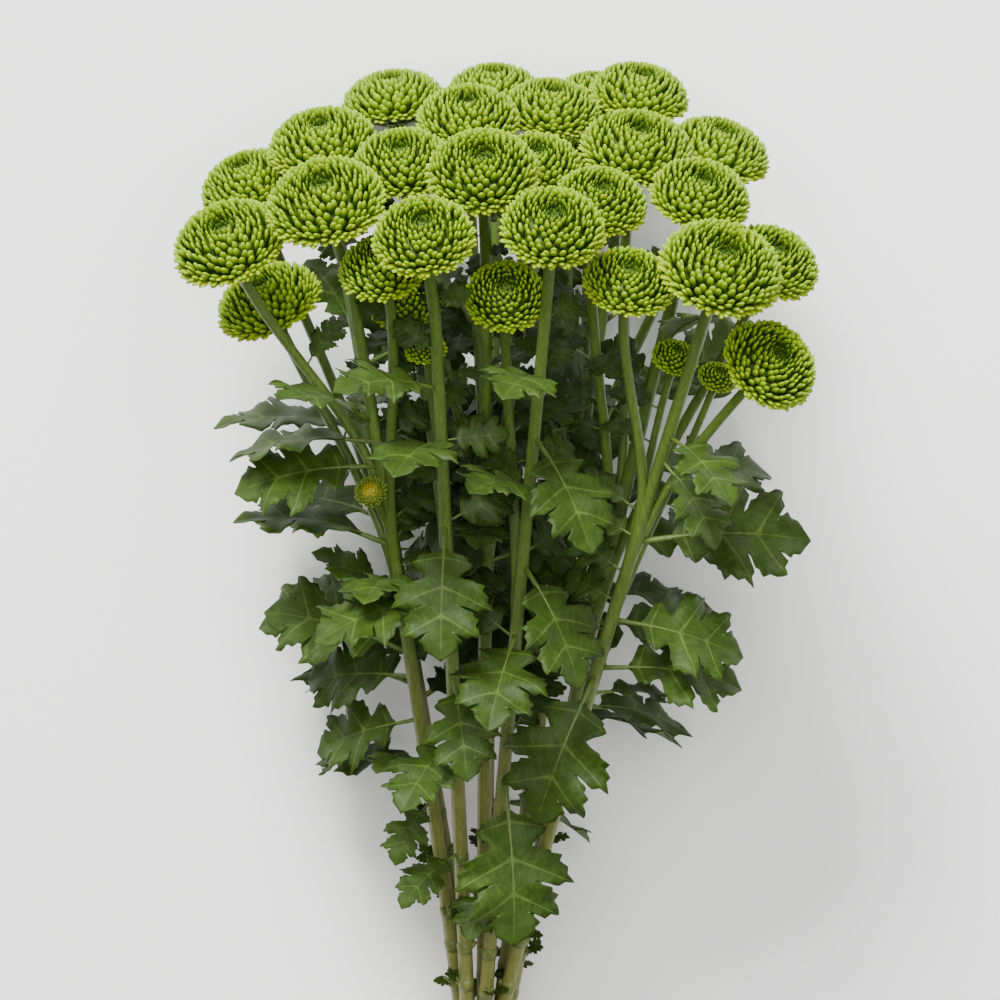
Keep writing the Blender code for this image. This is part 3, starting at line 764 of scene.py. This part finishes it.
def blade_material(name, face, vein, roughness, relief):
    """A blade's face: paler veins along each lobe and the midrib, and a puckered skin between.

    The UV map holds, for each lobe, the place across its vein and the share from midrib to edge.
    """
    made, tree, colour_it = skin_material(name, roughness, 0.13, 0.25, (260.0,) * 3, relief)
    place = tree.nodes.new("ShaderNodeUVMap")
    place.uv_map = "veins"
    apart = tree.nodes.new("ShaderNodeSeparateXYZ")
    wired(tree, place.outputs["UV"], apart.inputs[0])
    outward = apart.outputs["Y"]
    off = maths(tree, "ABSOLUTE", apart.outputs["X"])
    off_vein = maths(tree, "MULTIPLY", off, maths(tree, "ADD", outward, VEIN_BASE))
    between = maths(tree, "MULTIPLY", ramped(tree, off_vein, *VEIN_EDGES),
                    ramped(tree, outward, *MIDRIB_EDGES))
    slant = maths(tree, "MULTIPLY_ADD", off, FINE_SLANT, outward)
    off_fine = maths(tree, "PINGPONG", slant, 0.5 / FINE_VEINS)
    fine = [FINE_SHARE * v + (1 - FINE_SHARE) * f for v, f in zip(vein, face)]
    skin = blended(tree, ramped(tree, off_fine, 0.0, FINE_WIDTH / FINE_VEINS), fine, face)
    veined = blended(tree, between, vein, skin)
    # Painted shade: each corner's stored brightness darkens the blades towards the middle of the
    # bunch, along with their random tone
    colour_it(scaled(tree, veined, attribute(tree, "tone_and_shade")))
    return made


# Shapes

def facing_matrix(point, direction, side=None):
    """A frame at point with Z along direction and X as near to side as it goes."""
    along = direction.normalized()
    side = side or (Vector((0.0, 0.0, 1.0)) if abs(along.z) < 0.9 else Vector((1.0, 0.0, 0.0)))
    across = (side - along * side.dot(along)).normalized()
    turn = Matrix((across, along.cross(across), along)).transposed()
    return Matrix.Translation(point) @ turn.to_4x4()


def smoothed(points, radii, steps=3):
    """A smooth path through the points of a coarse one, with its radii."""
    padded = [2 * points[0] - points[1], *points, 2 * points[-1] - points[-2]]
    path, widths = [], []
    for i in range(len(points) - 1):
        a, b, c, d = padded[i:i + 4]
        for step in range(steps):
            t = step / steps
            path.append(0.5 * (2 * b + (c - a) * t + (2 * a - 5 * b + 4 * c - d) * t ** 2
                               + (3 * b - a - 3 * c + d) * t ** 3))
            widths.append(radii[i] + (radii[i + 1] - radii[i]) * t)
    return path + [points[-1].copy()], widths + [radii[-1]]


def next_ring(bm, edges):
    """Extrudes a ring of edges, and returns the new ring's corners and edges."""
    grown = bmesh.ops.extrude_edge_only(bm, edges=edges)["geom"]
    ring = [item for item in grown if isinstance(item, bmesh.types.BMVert)]
    edges = [item for item in grown if isinstance(item, bmesh.types.BMEdge)
             and all(vert in ring for vert in item.verts)]
    return ring, edges


def add_tube(bm, path, radii, sides, rib=0.0, cap_index=0):
    """A closed tube swept along a path, extruded ring by ring. Every second side may be a rib."""
    start = facing_matrix(path[0], path[1] - path[0])
    ring = bmesh.ops.create_circle(bm, cap_ends=False, segments=sides, radius=1.0)["verts"]
    for index, vert in enumerate(ring):
        vert.co *= 1.0 - rib * (index % 2)
    across = start.to_3x3().col[0]
    placed = start @ Matrix.Scale(radii[0], 4)
    bmesh.ops.transform(bm, matrix=placed, verts=ring)
    edges = list({edge for vert in ring for edge in vert.link_edges})
    ends = [list(edges)]
    for index in range(1, len(path)):
        after = path[min(index + 1, len(path) - 1)] - path[index - 1]
        target = facing_matrix(path[index], after, across) @ Matrix.Scale(radii[index], 4)
        across = target.to_3x3().col[0].normalized()
        ring, edges = next_ring(bm, edges)
        bmesh.ops.transform(bm, matrix=target @ placed.inverted(), verts=ring)
        placed = target
    ends.append(edges)
    for end in ends:
        for cap in bmesh.ops.contextual_create(bm, geom=end)["faces"]:
            cap.material_index = cap_index


def mesh_of(name, bm):
    mesh = bpy.data.meshes.new(name)
    bm.to_mesh(mesh)
    bm.free()
    return mesh


def finished(name, bm, to_model, materials, smooth=True):
    """Makes an object of a bmesh in the bunch's frame, with its place in its mesh."""
    mesh = mesh_of(name, bm)
    mesh.transform(to_model)
    for made in materials:
        mesh.materials.append(made)
    mesh.shade_smooth() if smooth else mesh.shade_flat()
    obj = bpy.data.objects.new(name, mesh)
    bpy.context.scene.collection.objects.link(obj)
    return obj


def floret_mesh():
    """One floret of unit length and width along Z: a flattened finger with a round tip."""
    bm = bmesh.new()
    ring = bmesh.ops.create_circle(bm, segments=FLORET_SIDES, radius=0.5)["verts"]
    bmesh.ops.scale(bm, vec=FLORET_ROOT, verts=ring)
    edges = list(bm.edges)
    for height, width in FLORET_RINGS:
        ring, edges = next_ring(bm, edges)
        bmesh.ops.scale(bm, vec=(width, width, 1.0), verts=ring)
        for vert in ring:
            vert.co.z = height
    tip = bmesh.ops.contextual_create(bm, geom=edges)["faces"]
    for vert in bmesh.ops.poke(bm, faces=tip)["verts"]:
        vert.co.z = 1.0
    bmesh.ops.recalc_face_normals(bm, faces=bm.faces)
    for vert in bm.verts:
        vert.co.y -= FLORET_BOW * vert.co.z * (1.0 - vert.co.z)
    return mesh_of("floret", bm)


def dome_tip(radius, angle, dimple):
    """Where a floret ends: out from the head's axis and up from its base."""
    tall = (1 - WIDEST_AT if angle < math.pi / 2 else WIDEST_AT) * radius
    hollow = dimple * radius * math.exp(-(math.degrees(angle) / DIMPLE_ANGLE) ** 2)
    return radius * math.sin(angle), WIDEST_AT * radius + tall * math.cos(angle) - hollow


def floret_tilt(angle):
    """How far a floret leans out: the middle ones stand up and the lowest lie flat."""
    degrees = math.degrees(angle)
    spread = min(max((degrees - RIM_TILT_FROM) / RIM_TILT_OVER, 0.0), 1.0)
    return math.radians(TILT_START + TILT_GROWTH * degrees + RIM_TILT * spread ** 2)


def out_and_side(turn):
    """The ways out and sideways at a turn round a head's axis."""
    return (Vector((math.cos(turn), math.sin(turn), 0.0)),
            Vector((-math.sin(turn), math.cos(turn), 0.0)))


def floret_places(head, settings, chance, last_angle):
    """Matrix, age and tone of every floret, in a golden-angle spiral from the eye to the rim."""
    radius = head["radius"]
    count = round(settings.density * radius)
    span = math.radians(last_angle - FIRST_ANGLE)
    short, more = FLORET_LENGTHS
    for index in range(count):
        share = (index + 0.5) / count
        angle = math.radians(FIRST_ANGLE) + span * share ** ANGLE_POWER
        turn = index * GOLDEN_ANGLE + chance.uniform(-0.05, 0.05)
        jitter = chance.uniform(-0.04, 0.04)
        wide, high = dome_tip(radius, angle + jitter, settings.dimple)
        outer = max(share - OUTER_FROM, 0.0) / (1 - OUTER_FROM)
        wide *= chance.uniform(1 - RAGGED, 1.0) + RAGGED * outer
        out, side = out_and_side(turn)
        tip = out * wide + Vector((0.0, 0.0, high))
        tilt = floret_tilt(angle) + chance.uniform(-0.06, 0.06)
        along = out * math.sin(tilt) + Vector((0.0, 0.0, math.cos(tilt)))
        root = tip - along * radius * (short + more * share)
        band = ANGLE_POWER * span * share ** (ANGLE_POWER - 1)
        space = math.sqrt(2 * math.pi * math.sin(angle) * band / count)
        width = settings.plumpness * radius * space
        sized = Matrix.Diagonal((width, FLORET_DEPTH * width, (tip - root).length, 1.0))
        yield facing_matrix(root, tip - root, side) @ sized, share, chance.uniform(0.86, 1.12)


def bract_places(head, chance):
    """The scales under a head: two rings that close on the neck."""
    radius = head["radius"]
    neck = min(NECK_RADIUS, NECK_SHARE * radius)
    for count, reaches, high in BRACT_RINGS:
        for index in range(count):
            out, side = out_and_side(2 * math.pi * (index + 0.5 * (count % 2)) / count)
            root = out * 0.5 * neck + Vector((0.0, 0.0, 0.02 * radius))
            tip = out * reaches * radius + Vector((0.0, 0.0, high * radius))
            width = BRACT_WIDTH * reaches * radius / count
            sized = Matrix.Diagonal((width, BRACT_DEPTH * width, (tip - root).length, 1.0))
            place = facing_matrix(root, tip - root, side) @ sized
            yield place, BRACT_AGE, chance.uniform(0.85, 1.1)


def add_repeats(bm, template, places):
    """Adds a copy of the template mesh at every place, and lists each copy's age and tone."""
    ages, tones_and_shades = [], []
    for matrix, age, tone_and_shade in places:
        copy = template.copy()
        copy.transform(matrix)
        bm.from_mesh(copy)
        bpy.data.meshes.remove(copy)
        ages.append(age)
        tones_and_shades.append(tone_and_shade)
    return ages, tones_and_shades


def add_heart(bm, radius):
    """The solid middle that the florets stand out of."""
    made = bmesh.ops.create_uvsphere(bm, u_segments=16, v_segments=10, radius=1.0)["verts"]
    bmesh.ops.scale(bm, vec=[share * radius for share in HEART_SIZE], verts=made)
    bmesh.ops.translate(bm, vec=(0.0, 0.0, HEART_HEIGHT * radius), verts=made)
    return len(made)


def store(mesh, name, values):
    mesh.attributes.new(name, "FLOAT", "POINT").data.foreach_set("value", values)


def head_piece(name, head, template, settings, to_model, made, last_angle=LAST_ANGLE):
    """A whole flower head, with each point's place up its floret, age and tone as attributes."""
    chance = random.Random(name)
    bm = bmesh.new()
    places = [*floret_places(head, settings, chance, last_angle), *bract_places(head, chance)]
    ages, tones_and_shades = add_repeats(bm, template, places)
    heart = add_heart(bm, head["radius"])
    corners = len(template.vertices)
    along = [vert.co.z for vert in template.vertices]
    turn = head["axis"].to_track_quat("Z", "Y").to_matrix().to_4x4()
    bmesh.ops.transform(bm, matrix=Matrix.Translation(foot(head)) @ turn, verts=bm.verts)
    obj = finished(name, bm, to_model, [made])
    for vert in obj.data.vertices:  # the lowest heads' florets lie on the floor
        vert.co.z = max(vert.co.z, ON_THE_FLOOR * MM)
    # The heart, at the bottom of every floret, takes the throat colour of painted shade
    store(obj.data, "along", np.append(np.tile(along, len(ages)), np.zeros(heart)))
    store(obj.data, "age", np.append(np.repeat(ages, corners), np.full(heart, HEART_AGE)))
    store(obj.data, "tone_and_shade", np.append(np.repeat(tones_and_shades, corners), np.full(heart, HEART_TONE)))
    return obj


def smooth_edge(points, steps):
    """A lobe's edge as a smooth line through its points."""
    flat = [Vector((*point, 0.0)) for point in points]
    return [point.to_2d() for point in smoothed(flat, [1.0] * len(flat), steps)[0]]


def blade_template(settings, rows, steps):
    """A flat blade of unit length: toothed lobes on both sides of the midrib, as a thin shell."""
    bm = bmesh.new()
    layer = bm.loops.layers.uv.new("veins")
    for side in (1, -1):
        for low, high, vein, points in LOBES:
            edge = smooth_edge(points, steps)
            columns = len(edge) - 1
            made = bmesh.ops.create_grid(
                bm, x_segments=columns, y_segments=rows, size=0.5)["verts"]
            places = {}
            for vert in made:
                column = round((vert.co.x + 0.5) * columns)
                share = vert.co.y + 0.5
                places[vert] = ((column - vein * steps) / columns, share)
                root = low + (high - low) * (column / columns) ** 2
                along, across = edge[column]
                vert.co = (root + (along - root) * share, side * across * share, 0.0)
            faces = {face for vert in made for face in vert.link_faces}
            for face in faces:
                for loop in face.loops:
                    loop[layer].uv = places[loop.vert]
    bmesh.ops.remove_doubles(bm, verts=bm.verts, dist=0.0005)
    bmesh.ops.dissolve_degenerate(bm, dist=0.0001, edges=bm.edges)
    bmesh.ops.recalc_face_normals(bm, faces=bm.faces)
    if sum(face.normal.z * face.calc_area() for face in bm.faces) < 0:
        bmesh.ops.reverse_faces(bm, faces=bm.faces)
    bmesh.ops.solidify(bm, geom=list(bm.faces), thickness=settings.thickness / BLADE_SIZE)
    bm.normal_update()
    for face in bm.faces:
        face.material_index = 1 if face.normal.z < -0.5 else 0
    return mesh_of("blade", bm)


def add_leaf(bm_blades, bm_wood, template, way, length, settings, chance):
    """One leaf: its waved blade, and a stalk that runs on under the blade as the midrib.

    Returns the brightness of each of the blade's corners: its random tone times painted shade,
    darker towards the middle of the bunch.
    """
    copy = template.copy()
    phase, twist = chance.uniform(0, 6.28), chance.uniform(-0.14, 0.14)
    for vert in copy.vertices:
        flat = vert.co * length
        edge = min(abs(flat.y) / (WAVE_FULL * length), 1.0)
        wave = math.sin(WAVE_TURNS * vert.co.x + phase + WAVE_SHIFT * (flat.y > 0))
        flat.z += settings.wave * length * edge * wave
        flat.z += twist * flat.y * vert.co.x
        vert.co = on_the_leaf(way, flat, length)
    bm_blades.from_mesh(copy)
    corners = len(copy.vertices)
    bpy.data.meshes.remove(copy)
    path = []
    for step in range(len(MIDRIB_RADII)):
        along = -PETIOLE + (MIDRIB_END + PETIOLE) * step / (len(MIDRIB_RADII) - 1)
        path.append(on_the_leaf(way, Vector((length * along, 0.0, -MIDRIB_SINK)), length))
    radii = [radius * length / MIDRIB_LEAF for radius in MIDRIB_RADII]
    add_tube(bm_wood, path, radii, MIDRIB_SIDES)
    tip = path[-1]
    # Painted shade: a leaf is painted darker the nearer its tip is to the middle of the bunch, on
    # top of its random tone
    outside = Vector((tip.x - BAND_X, 0.0, tip.z)).length
    share = min(outside / (2 * CORE_RADIUS + CORE_SPREAD * (tip.y - YOUNG_FROM)), 1.0)
    tone_and_shade = (INNER_SHADE + (1 - INNER_SHADE) * share) * chance.uniform(0.85, 1.15)
    return [tone_and_shade] * corners


def blade_trial(way, length, to_model):
    """A search tree of a leaf's rough outline, to test whether it has room."""
    bm = bmesh.new()
    bmesh.ops.create_grid(bm, x_segments=5, y_segments=4, size=0.5)
    for vert in bm.verts:
        along = vert.co.x + 0.5
        half = 0.1 + 0.36 * math.sin(math.pi * min(1.1 * along, 1.0))
        flat = Vector((along, 2 * vert.co.y * half, 0.0)) * length
        vert.co = to_model @ on_the_leaf(way, flat, length)
    tree = BVHTree.FromBMesh(bm)
    bm.free()
    return tree


def in_the_core(tip, stem_point, to_model):
    """Whether a small leaf's tip stays inside the bunch, off the floor and behind its stem."""
    middle = Vector((tip.x - BAND_X, 0.0, tip.z))
    inside = middle.length < CORE_RADIUS + CORE_SPREAD * (tip.y - YOUNG_FROM)
    behind = tip.y < YOUNG_BEHIND or tip.z < stem_point.z + 2
    return inside and behind and (to_model @ tip).z > CORE_FLOOR * MM


def young_leaves(path, top, to_model, walls, chance):
    """Ways to stand for the small leaves up a stem, each where its blade touches nothing else."""
    y = max(path[0].y, YOUNG_FROM) + chance.uniform(4, 10)
    compass = chance.uniform(0, 360)
    short, long = YOUNG_LENGTHS
    while y < top - YOUNG_BELOW_HEAD:
        point, along = at_height(path, y)
        size = long - (long - short) * min((y - YOUNG_FROM) / YOUNG_OVER, 1.0)
        for _ in range(YOUNG_TRIES):
            length = size * chance.uniform(0.85, 1.15)
            turned = compass + chance.uniform(-90, 90)
            rise, facing = chance.uniform(0, 50), chance.uniform(0, 50)
            way = leaf_frame(point, along, turned, rise, facing)
            tip = way @ Vector(((1 + PETIOLE) * length, 0.0, -0.3 * length))
            if not in_the_core(tip, point, to_model):
                continue
            trial = blade_trial(way, length, to_model)
            if not any(trial.overlap(wall) for wall in walls):
                walls.append(trial)
                yield way, length
                break
        compass += JOINT_TURN
        y += YOUNG_STEP * chance.uniform(0.8, 1.2)


# Operators

class BUNCH_OT_flowers(Operator):
    """Covers every head in florets"""

    bl_idname = "bunch.flowers"
    bl_label = "Flower heads"

    def execute(self, context):
        settings = context.scene.bunch_flowers
        to_model = bunch_matrix()
        template = floret_mesh()
        made = floret_material(settings)
        for number, head in placed_heads().items():
            if number == "bud":
                continue
            node = f"flower_{number:02d}"
            low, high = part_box(node)
            middle = to_model @ head["centre"]
            if not all(low[i] < middle[i] < high[i] for i in range(3)):
                raise RuntimeError(f"{node} is not where the layout puts it")
            obj = head_piece(f"florets_{number:02d}", head, template, settings, to_model, made)
            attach(obj, "root")
            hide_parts(node)
        bpy.data.meshes.remove(template)
        return {"FINISHED"}


class BUNCH_OT_bud(Operator):
    """Makes the bud with a yellow middle"""

    bl_idname = "bunch.bud"
    bl_label = "Open bud"

    def execute(self, context):
        settings = context.scene.bunch_flowers
        template = floret_mesh()
        made = bud_material(settings)
        head = placed_heads()["bud"]
        obj = head_piece("yellow_bud", head, template, settings, bunch_matrix(), made,
                         BUD_LAST_ANGLE)
        bpy.data.meshes.remove(template)
        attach(obj, "root")
        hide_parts("open_bud")
        return {"FINISHED"}


def twig_tube(path, head, thick):
    """Points and radii of a twig that ends in the flared neck under its head."""
    neck = min(NECK_RADIUS, NECK_SHARE * head["radius"])
    top = path[-1] - head["axis"] * GAP
    points = path[:-1] + [top - head["axis"] * NECK_RISE * neck, top]
    if thick:
        radii = [stem_radius_at(point.y) for point in points[:-2]] + [NECK_START]
    else:
        twig = TWIG_RADIUS if head["radius"] > THIN_TWIG_HEAD else THIN_TWIG_RADIUS
        radii = [twig] * (len(points) - 1)
    return points, radii + [neck]


def add_joints(bm, blades, tiny, stem, settings, chance):
    """The joints of the lower stem: swellings with torn leaf bases, and tufts above the band.

    Returns the brightness of each corner of the tufts' blades: their random tone times painted
    shade, darker towards the middle of the bunch.
    """
    tones_and_shades = []
    y = CUT_Y + FIRST_JOINT
    turn = chance.uniform(0, 360)
    while y < LAST_JOINT_Y:
        point, along = at_height(stem, y)
        radius = stem_radius_at(y)
        if abs(y - BAND_Y) > JOINT_CLEAR:
            add_tube(bm, [point + along * rise for rise, _ in SWELLING],
                     [radius * wide for _, wide in SWELLING], SWELLING_SIDES)
            for side in (0, chance.uniform(30, 60)):
                out = polar(1.0, turn + side)
                torn = chance.uniform(1.25, 1.8)
                path = [point, point + out * radius + along * 0.5,
                        point + out * radius * torn + along * chance.uniform(1.0, 4.0)]
                add_tube(bm, path, [*TORN_RADII, chance.uniform(0.3, 0.7)], MIDRIB_SIDES)
            out = polar(1.0, turn)
            outward = out.dot(Vector((point.x - BAND_X, 0.0, point.z))) > 0
            if outward and y > BAND_Y + JOINT_CLEAR:
                for spread in TUFT_SPREADS:
                    way = leaf_frame(point + out * radius * TUFT_ROOT, along, turn + spread,
                                     chance.uniform(20, 60), TUFT_FACING)
                    length = chance.uniform(4.5, 7.5)
                    tones_and_shades += add_leaf(blades, bm, tiny, way, length, settings, chance)
        y += chance.uniform(14, 23)
        turn += JOINT_TURN
    return tones_and_shades


class BUNCH_OT_stems(Operator):
    """Makes the leafy stems: ribbed stems and twigs, stalks, and toothed blades"""

    bl_idname = "bunch.stems"
    bl_label = "Leafy stems"

    def execute(self, context):
        stems, leaves = context.scene.bunch_stems, context.scene.bunch_leaves
        to_model = bunch_matrix()
        heads = placed_heads()
        template = blade_template(leaves, BLADE_ROWS, EDGE_STEPS)
        young = blade_template(leaves, YOUNG_ROWS, YOUNG_EDGE_STEPS)
        walls = [BVHTree.FromPolygons([v.co for v in obj.data.vertices],
                                      [p.vertices for p in obj.data.polygons])
                 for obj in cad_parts.values()]
        wood_skin = [stem_material(stems), plain_material("pith", 0.8, 0.2, stems.pith)]
        blade_skin = [blade_material("blade_upper", leaves.upper, leaves.vein, 0.52, 0.7),
                      blade_material("blade_under", leaves.under, leaves.under, 0.65, 0.4)]
        for number in SPRAYS:
            chance = random.Random(number)
            node = f"leafy_stem_{number}"
            wood, blades = bmesh.new(), bmesh.new()
            stem, twigs = spray_paths(number, heads)
            for head_number, path in twigs.items():
                points, radii = twig_tube(path, heads[head_number], path is stem)
                fine, widths = smoothed(points, radii)
                add_tube(wood, fine, widths, stems.sides, stems.rib, 1 if path is stem else 0)
            bare = len(wood.verts)
            tones_and_shades = add_joints(wood, blades, young, stem, leaves, chance)
            tips = corner_tree(node)
            for leaf in LEAVES[number]:
                found = found_leaf(stem, leaf, tips, to_model)
                if found is None:
                    raise RuntimeError(f"{node} has no leaf like {leaf}")
                tones_and_shades += add_leaf(blades, wood, template, *found, leaves, chance)
            for head_number, path in twigs.items():
                top = foot(heads[head_number]).y
                for found in young_leaves(path, top, to_model, walls, chance):
                    tones_and_shades += add_leaf(blades, wood, young, *found, leaves, chance)
            bmesh.ops.recalc_face_normals(wood, faces=wood.faces)
            heights = [(vert.co.y - CUT_Y) / STEM_SHADES for vert in wood.verts]
            for index in range(bare, len(heights)):
                heights[index] += FRESHER
            stem_piece = finished(f"stem_{number}", wood, to_model, wood_skin)
            store(stem_piece.data, "height", heights)
            leaf_piece = finished(f"leaves_{number}", blades, to_model, blade_skin)
            # The blades' brightness: random tone times painted shade towards the middle of the
            # bunch
            store(leaf_piece.data, "tone_and_shade", tones_and_shades)
            for piece in (stem_piece, leaf_piece):
                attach(piece, "root")
                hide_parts(node)
        bpy.data.meshes.remove(template)
        bpy.data.meshes.remove(young)
        return {"FINISHED"}


class BUNCH_OT_band(Operator):
    """Winds the rubber band round the stems"""

    bl_idname = "bunch.band"
    bl_label = "Rubber band"

    def execute(self, context):
        settings = context.scene.bunch_band
        rubber = plain_material("rubber", 0.55, 0.4, settings.colour)
        spacing = 360 / (len(SPRAYS) - 1)
        wall = stem_radius_at(BAND_Y) + BAND_CLEARANCE + 0.5 * settings.strand
        bm = bmesh.new()
        for winding in (-1, 0, 1):
            loop = []
            for stem in range(len(SPRAYS) - 1):
                centre = polar(RING_RADIUS, stem * spacing)
                for share in (-0.5, -0.25, 0.0, 0.25, 0.5):
                    loop.append(centre + polar(wall, (stem + share) * spacing))
            lift = Vector((BAND_X, BAND_Y + winding * 1.05 * settings.strand, 0.0))
            loop = [point + lift for point in loop + loop[:1]]
            add_tube(bm, loop, [0.5 * settings.strand] * len(loop), 10)
        bmesh.ops.recalc_face_normals(bm, faces=bm.faces)
        obj = finished("band_windings", bm, bunch_matrix(), [rubber])
        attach(obj, "root")
        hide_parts("rubber_band")
        return {"FINISHED"}


def area_light(name, place, size, power):
    data = bpy.data.lights.new(name, "AREA")
    data.size = size
    data.energy = power
    light = bpy.data.objects.new(name, data)
    light.location = place
    aim = Vector(LIGHTS_AIM) - Vector(place)
    light.rotation_euler = aim.to_track_quat("-Z", "Y").to_euler()
    bpy.context.scene.collection.objects.link(light)


class BUNCH_OT_stage(Operator):
    """Sets the floor, the soft lights and the camera"""

    bl_idname = "bunch.stage"
    bl_label = "Stage"

    def execute(self, context):
        settings = context.scene.bunch_stage
        bm = bmesh.new()
        bmesh.ops.create_grid(bm, x_segments=1, y_segments=1, size=FLOOR_SIZE)
        skin = plain_material("floor", 0.9, 0.1, settings.floor)
        drop = Matrix.Translation((0.0, 0.0, -FLOOR_DROP))
        floor = finished("floor", bm, drop, [skin], smooth=False)
        for light in LIGHTS:
            area_light(*light)
        world = bpy.data.worlds.new("studio")
        world.use_nodes = True
        sky = world.node_tree.nodes["Background"]
        sky.inputs["Color"].default_value = (1.0, 1.0, 1.0, 1.0)
        sky.inputs["Strength"].default_value = SKY_STRENGTH
        context.scene.world = world
        self.add_camera(context, settings)
        return {"FINISHED"}

    def add_camera(self, context, settings):
        """Looks at the bunch from in front and a little from the heads' side, from far off."""
        to_model = bunch_matrix()
        turn = to_model.to_3x3().normalized()
        angle = settings.elevation
        back = turn @ Vector((0.0, math.sin(angle), math.cos(angle)))
        up = Vector((0.0, math.cos(angle), -math.sin(angle)))
        target = to_model @ (up * settings.frame_width / MM / 2)
        across = (turn @ up).cross(back)
        data = bpy.data.cameras.new("camera")
        data.sensor_width = SENSOR
        data.lens = data.sensor_width * settings.distance / settings.frame_width
        data.clip_end = SEES_TO
        camera = bpy.data.objects.new("camera", data)
        placed = Matrix((across, turn @ up, back)).transposed().to_4x4()
        placed.translation = target + back * settings.distance
        camera.matrix_world = placed
        context.scene.collection.objects.link(camera)
        context.scene.camera = camera


class BUNCH_PT_panel(Panel):
    bl_idname = "BUNCH_PT_panel"
    bl_label = "Chrysanthemum bunch"
    bl_space_type = "VIEW_3D"
    bl_region_type = "UI"
    bl_category = "Bunch"

    def draw(self, context):
        scene = context.scene
        groups = (
            (scene.bunch_flowers, (BUNCH_OT_flowers, BUNCH_OT_bud)),
            (scene.bunch_stems, (BUNCH_OT_stems,)),
            (scene.bunch_leaves, ()),
            (scene.bunch_band, (BUNCH_OT_band,)),
            (scene.bunch_stage, (BUNCH_OT_stage,)),
        )
        for settings, operators in groups:
            box = self.layout.box()
            for name in settings.bl_rna.properties.keys():
                if name not in ("rna_type", "name"):
                    box.prop(settings, name)
            for operator in operators:
                box.operator(operator.bl_idname)


SETTINGS = {
    "bunch_flowers": FlowerSettings,
    "bunch_stems": StemSettings,
    "bunch_leaves": LeafSettings,
    "bunch_band": BandSettings,
    "bunch_stage": StageSettings,
}
OPERATORS = (BUNCH_OT_flowers, BUNCH_OT_bud, BUNCH_OT_stems, BUNCH_OT_band, BUNCH_OT_stage)


def register():
    for group in SETTINGS.values():
        bpy.utils.register_class(group)
    for operator in OPERATORS:
        bpy.utils.register_class(operator)
    bpy.utils.register_class(BUNCH_PT_panel)
    for name, group in SETTINGS.items():
        setattr(bpy.types.Scene, name, PointerProperty(type=group))


def unregister():
    for name in SETTINGS:
        delattr(bpy.types.Scene, name)
    bpy.utils.unregister_class(BUNCH_PT_panel)
    for operator in reversed(OPERATORS):
        bpy.utils.unregister_class(operator)
    for group in reversed(SETTINGS.values()):
        bpy.utils.unregister_class(group)


def main():
    register()
    bpy.ops.bunch.flowers()
    bpy.ops.bunch.bud()
    bpy.ops.bunch.stems()
    bpy.ops.bunch.band()
    bpy.ops.bunch.stage()


if __name__ == "__main__":
    main()
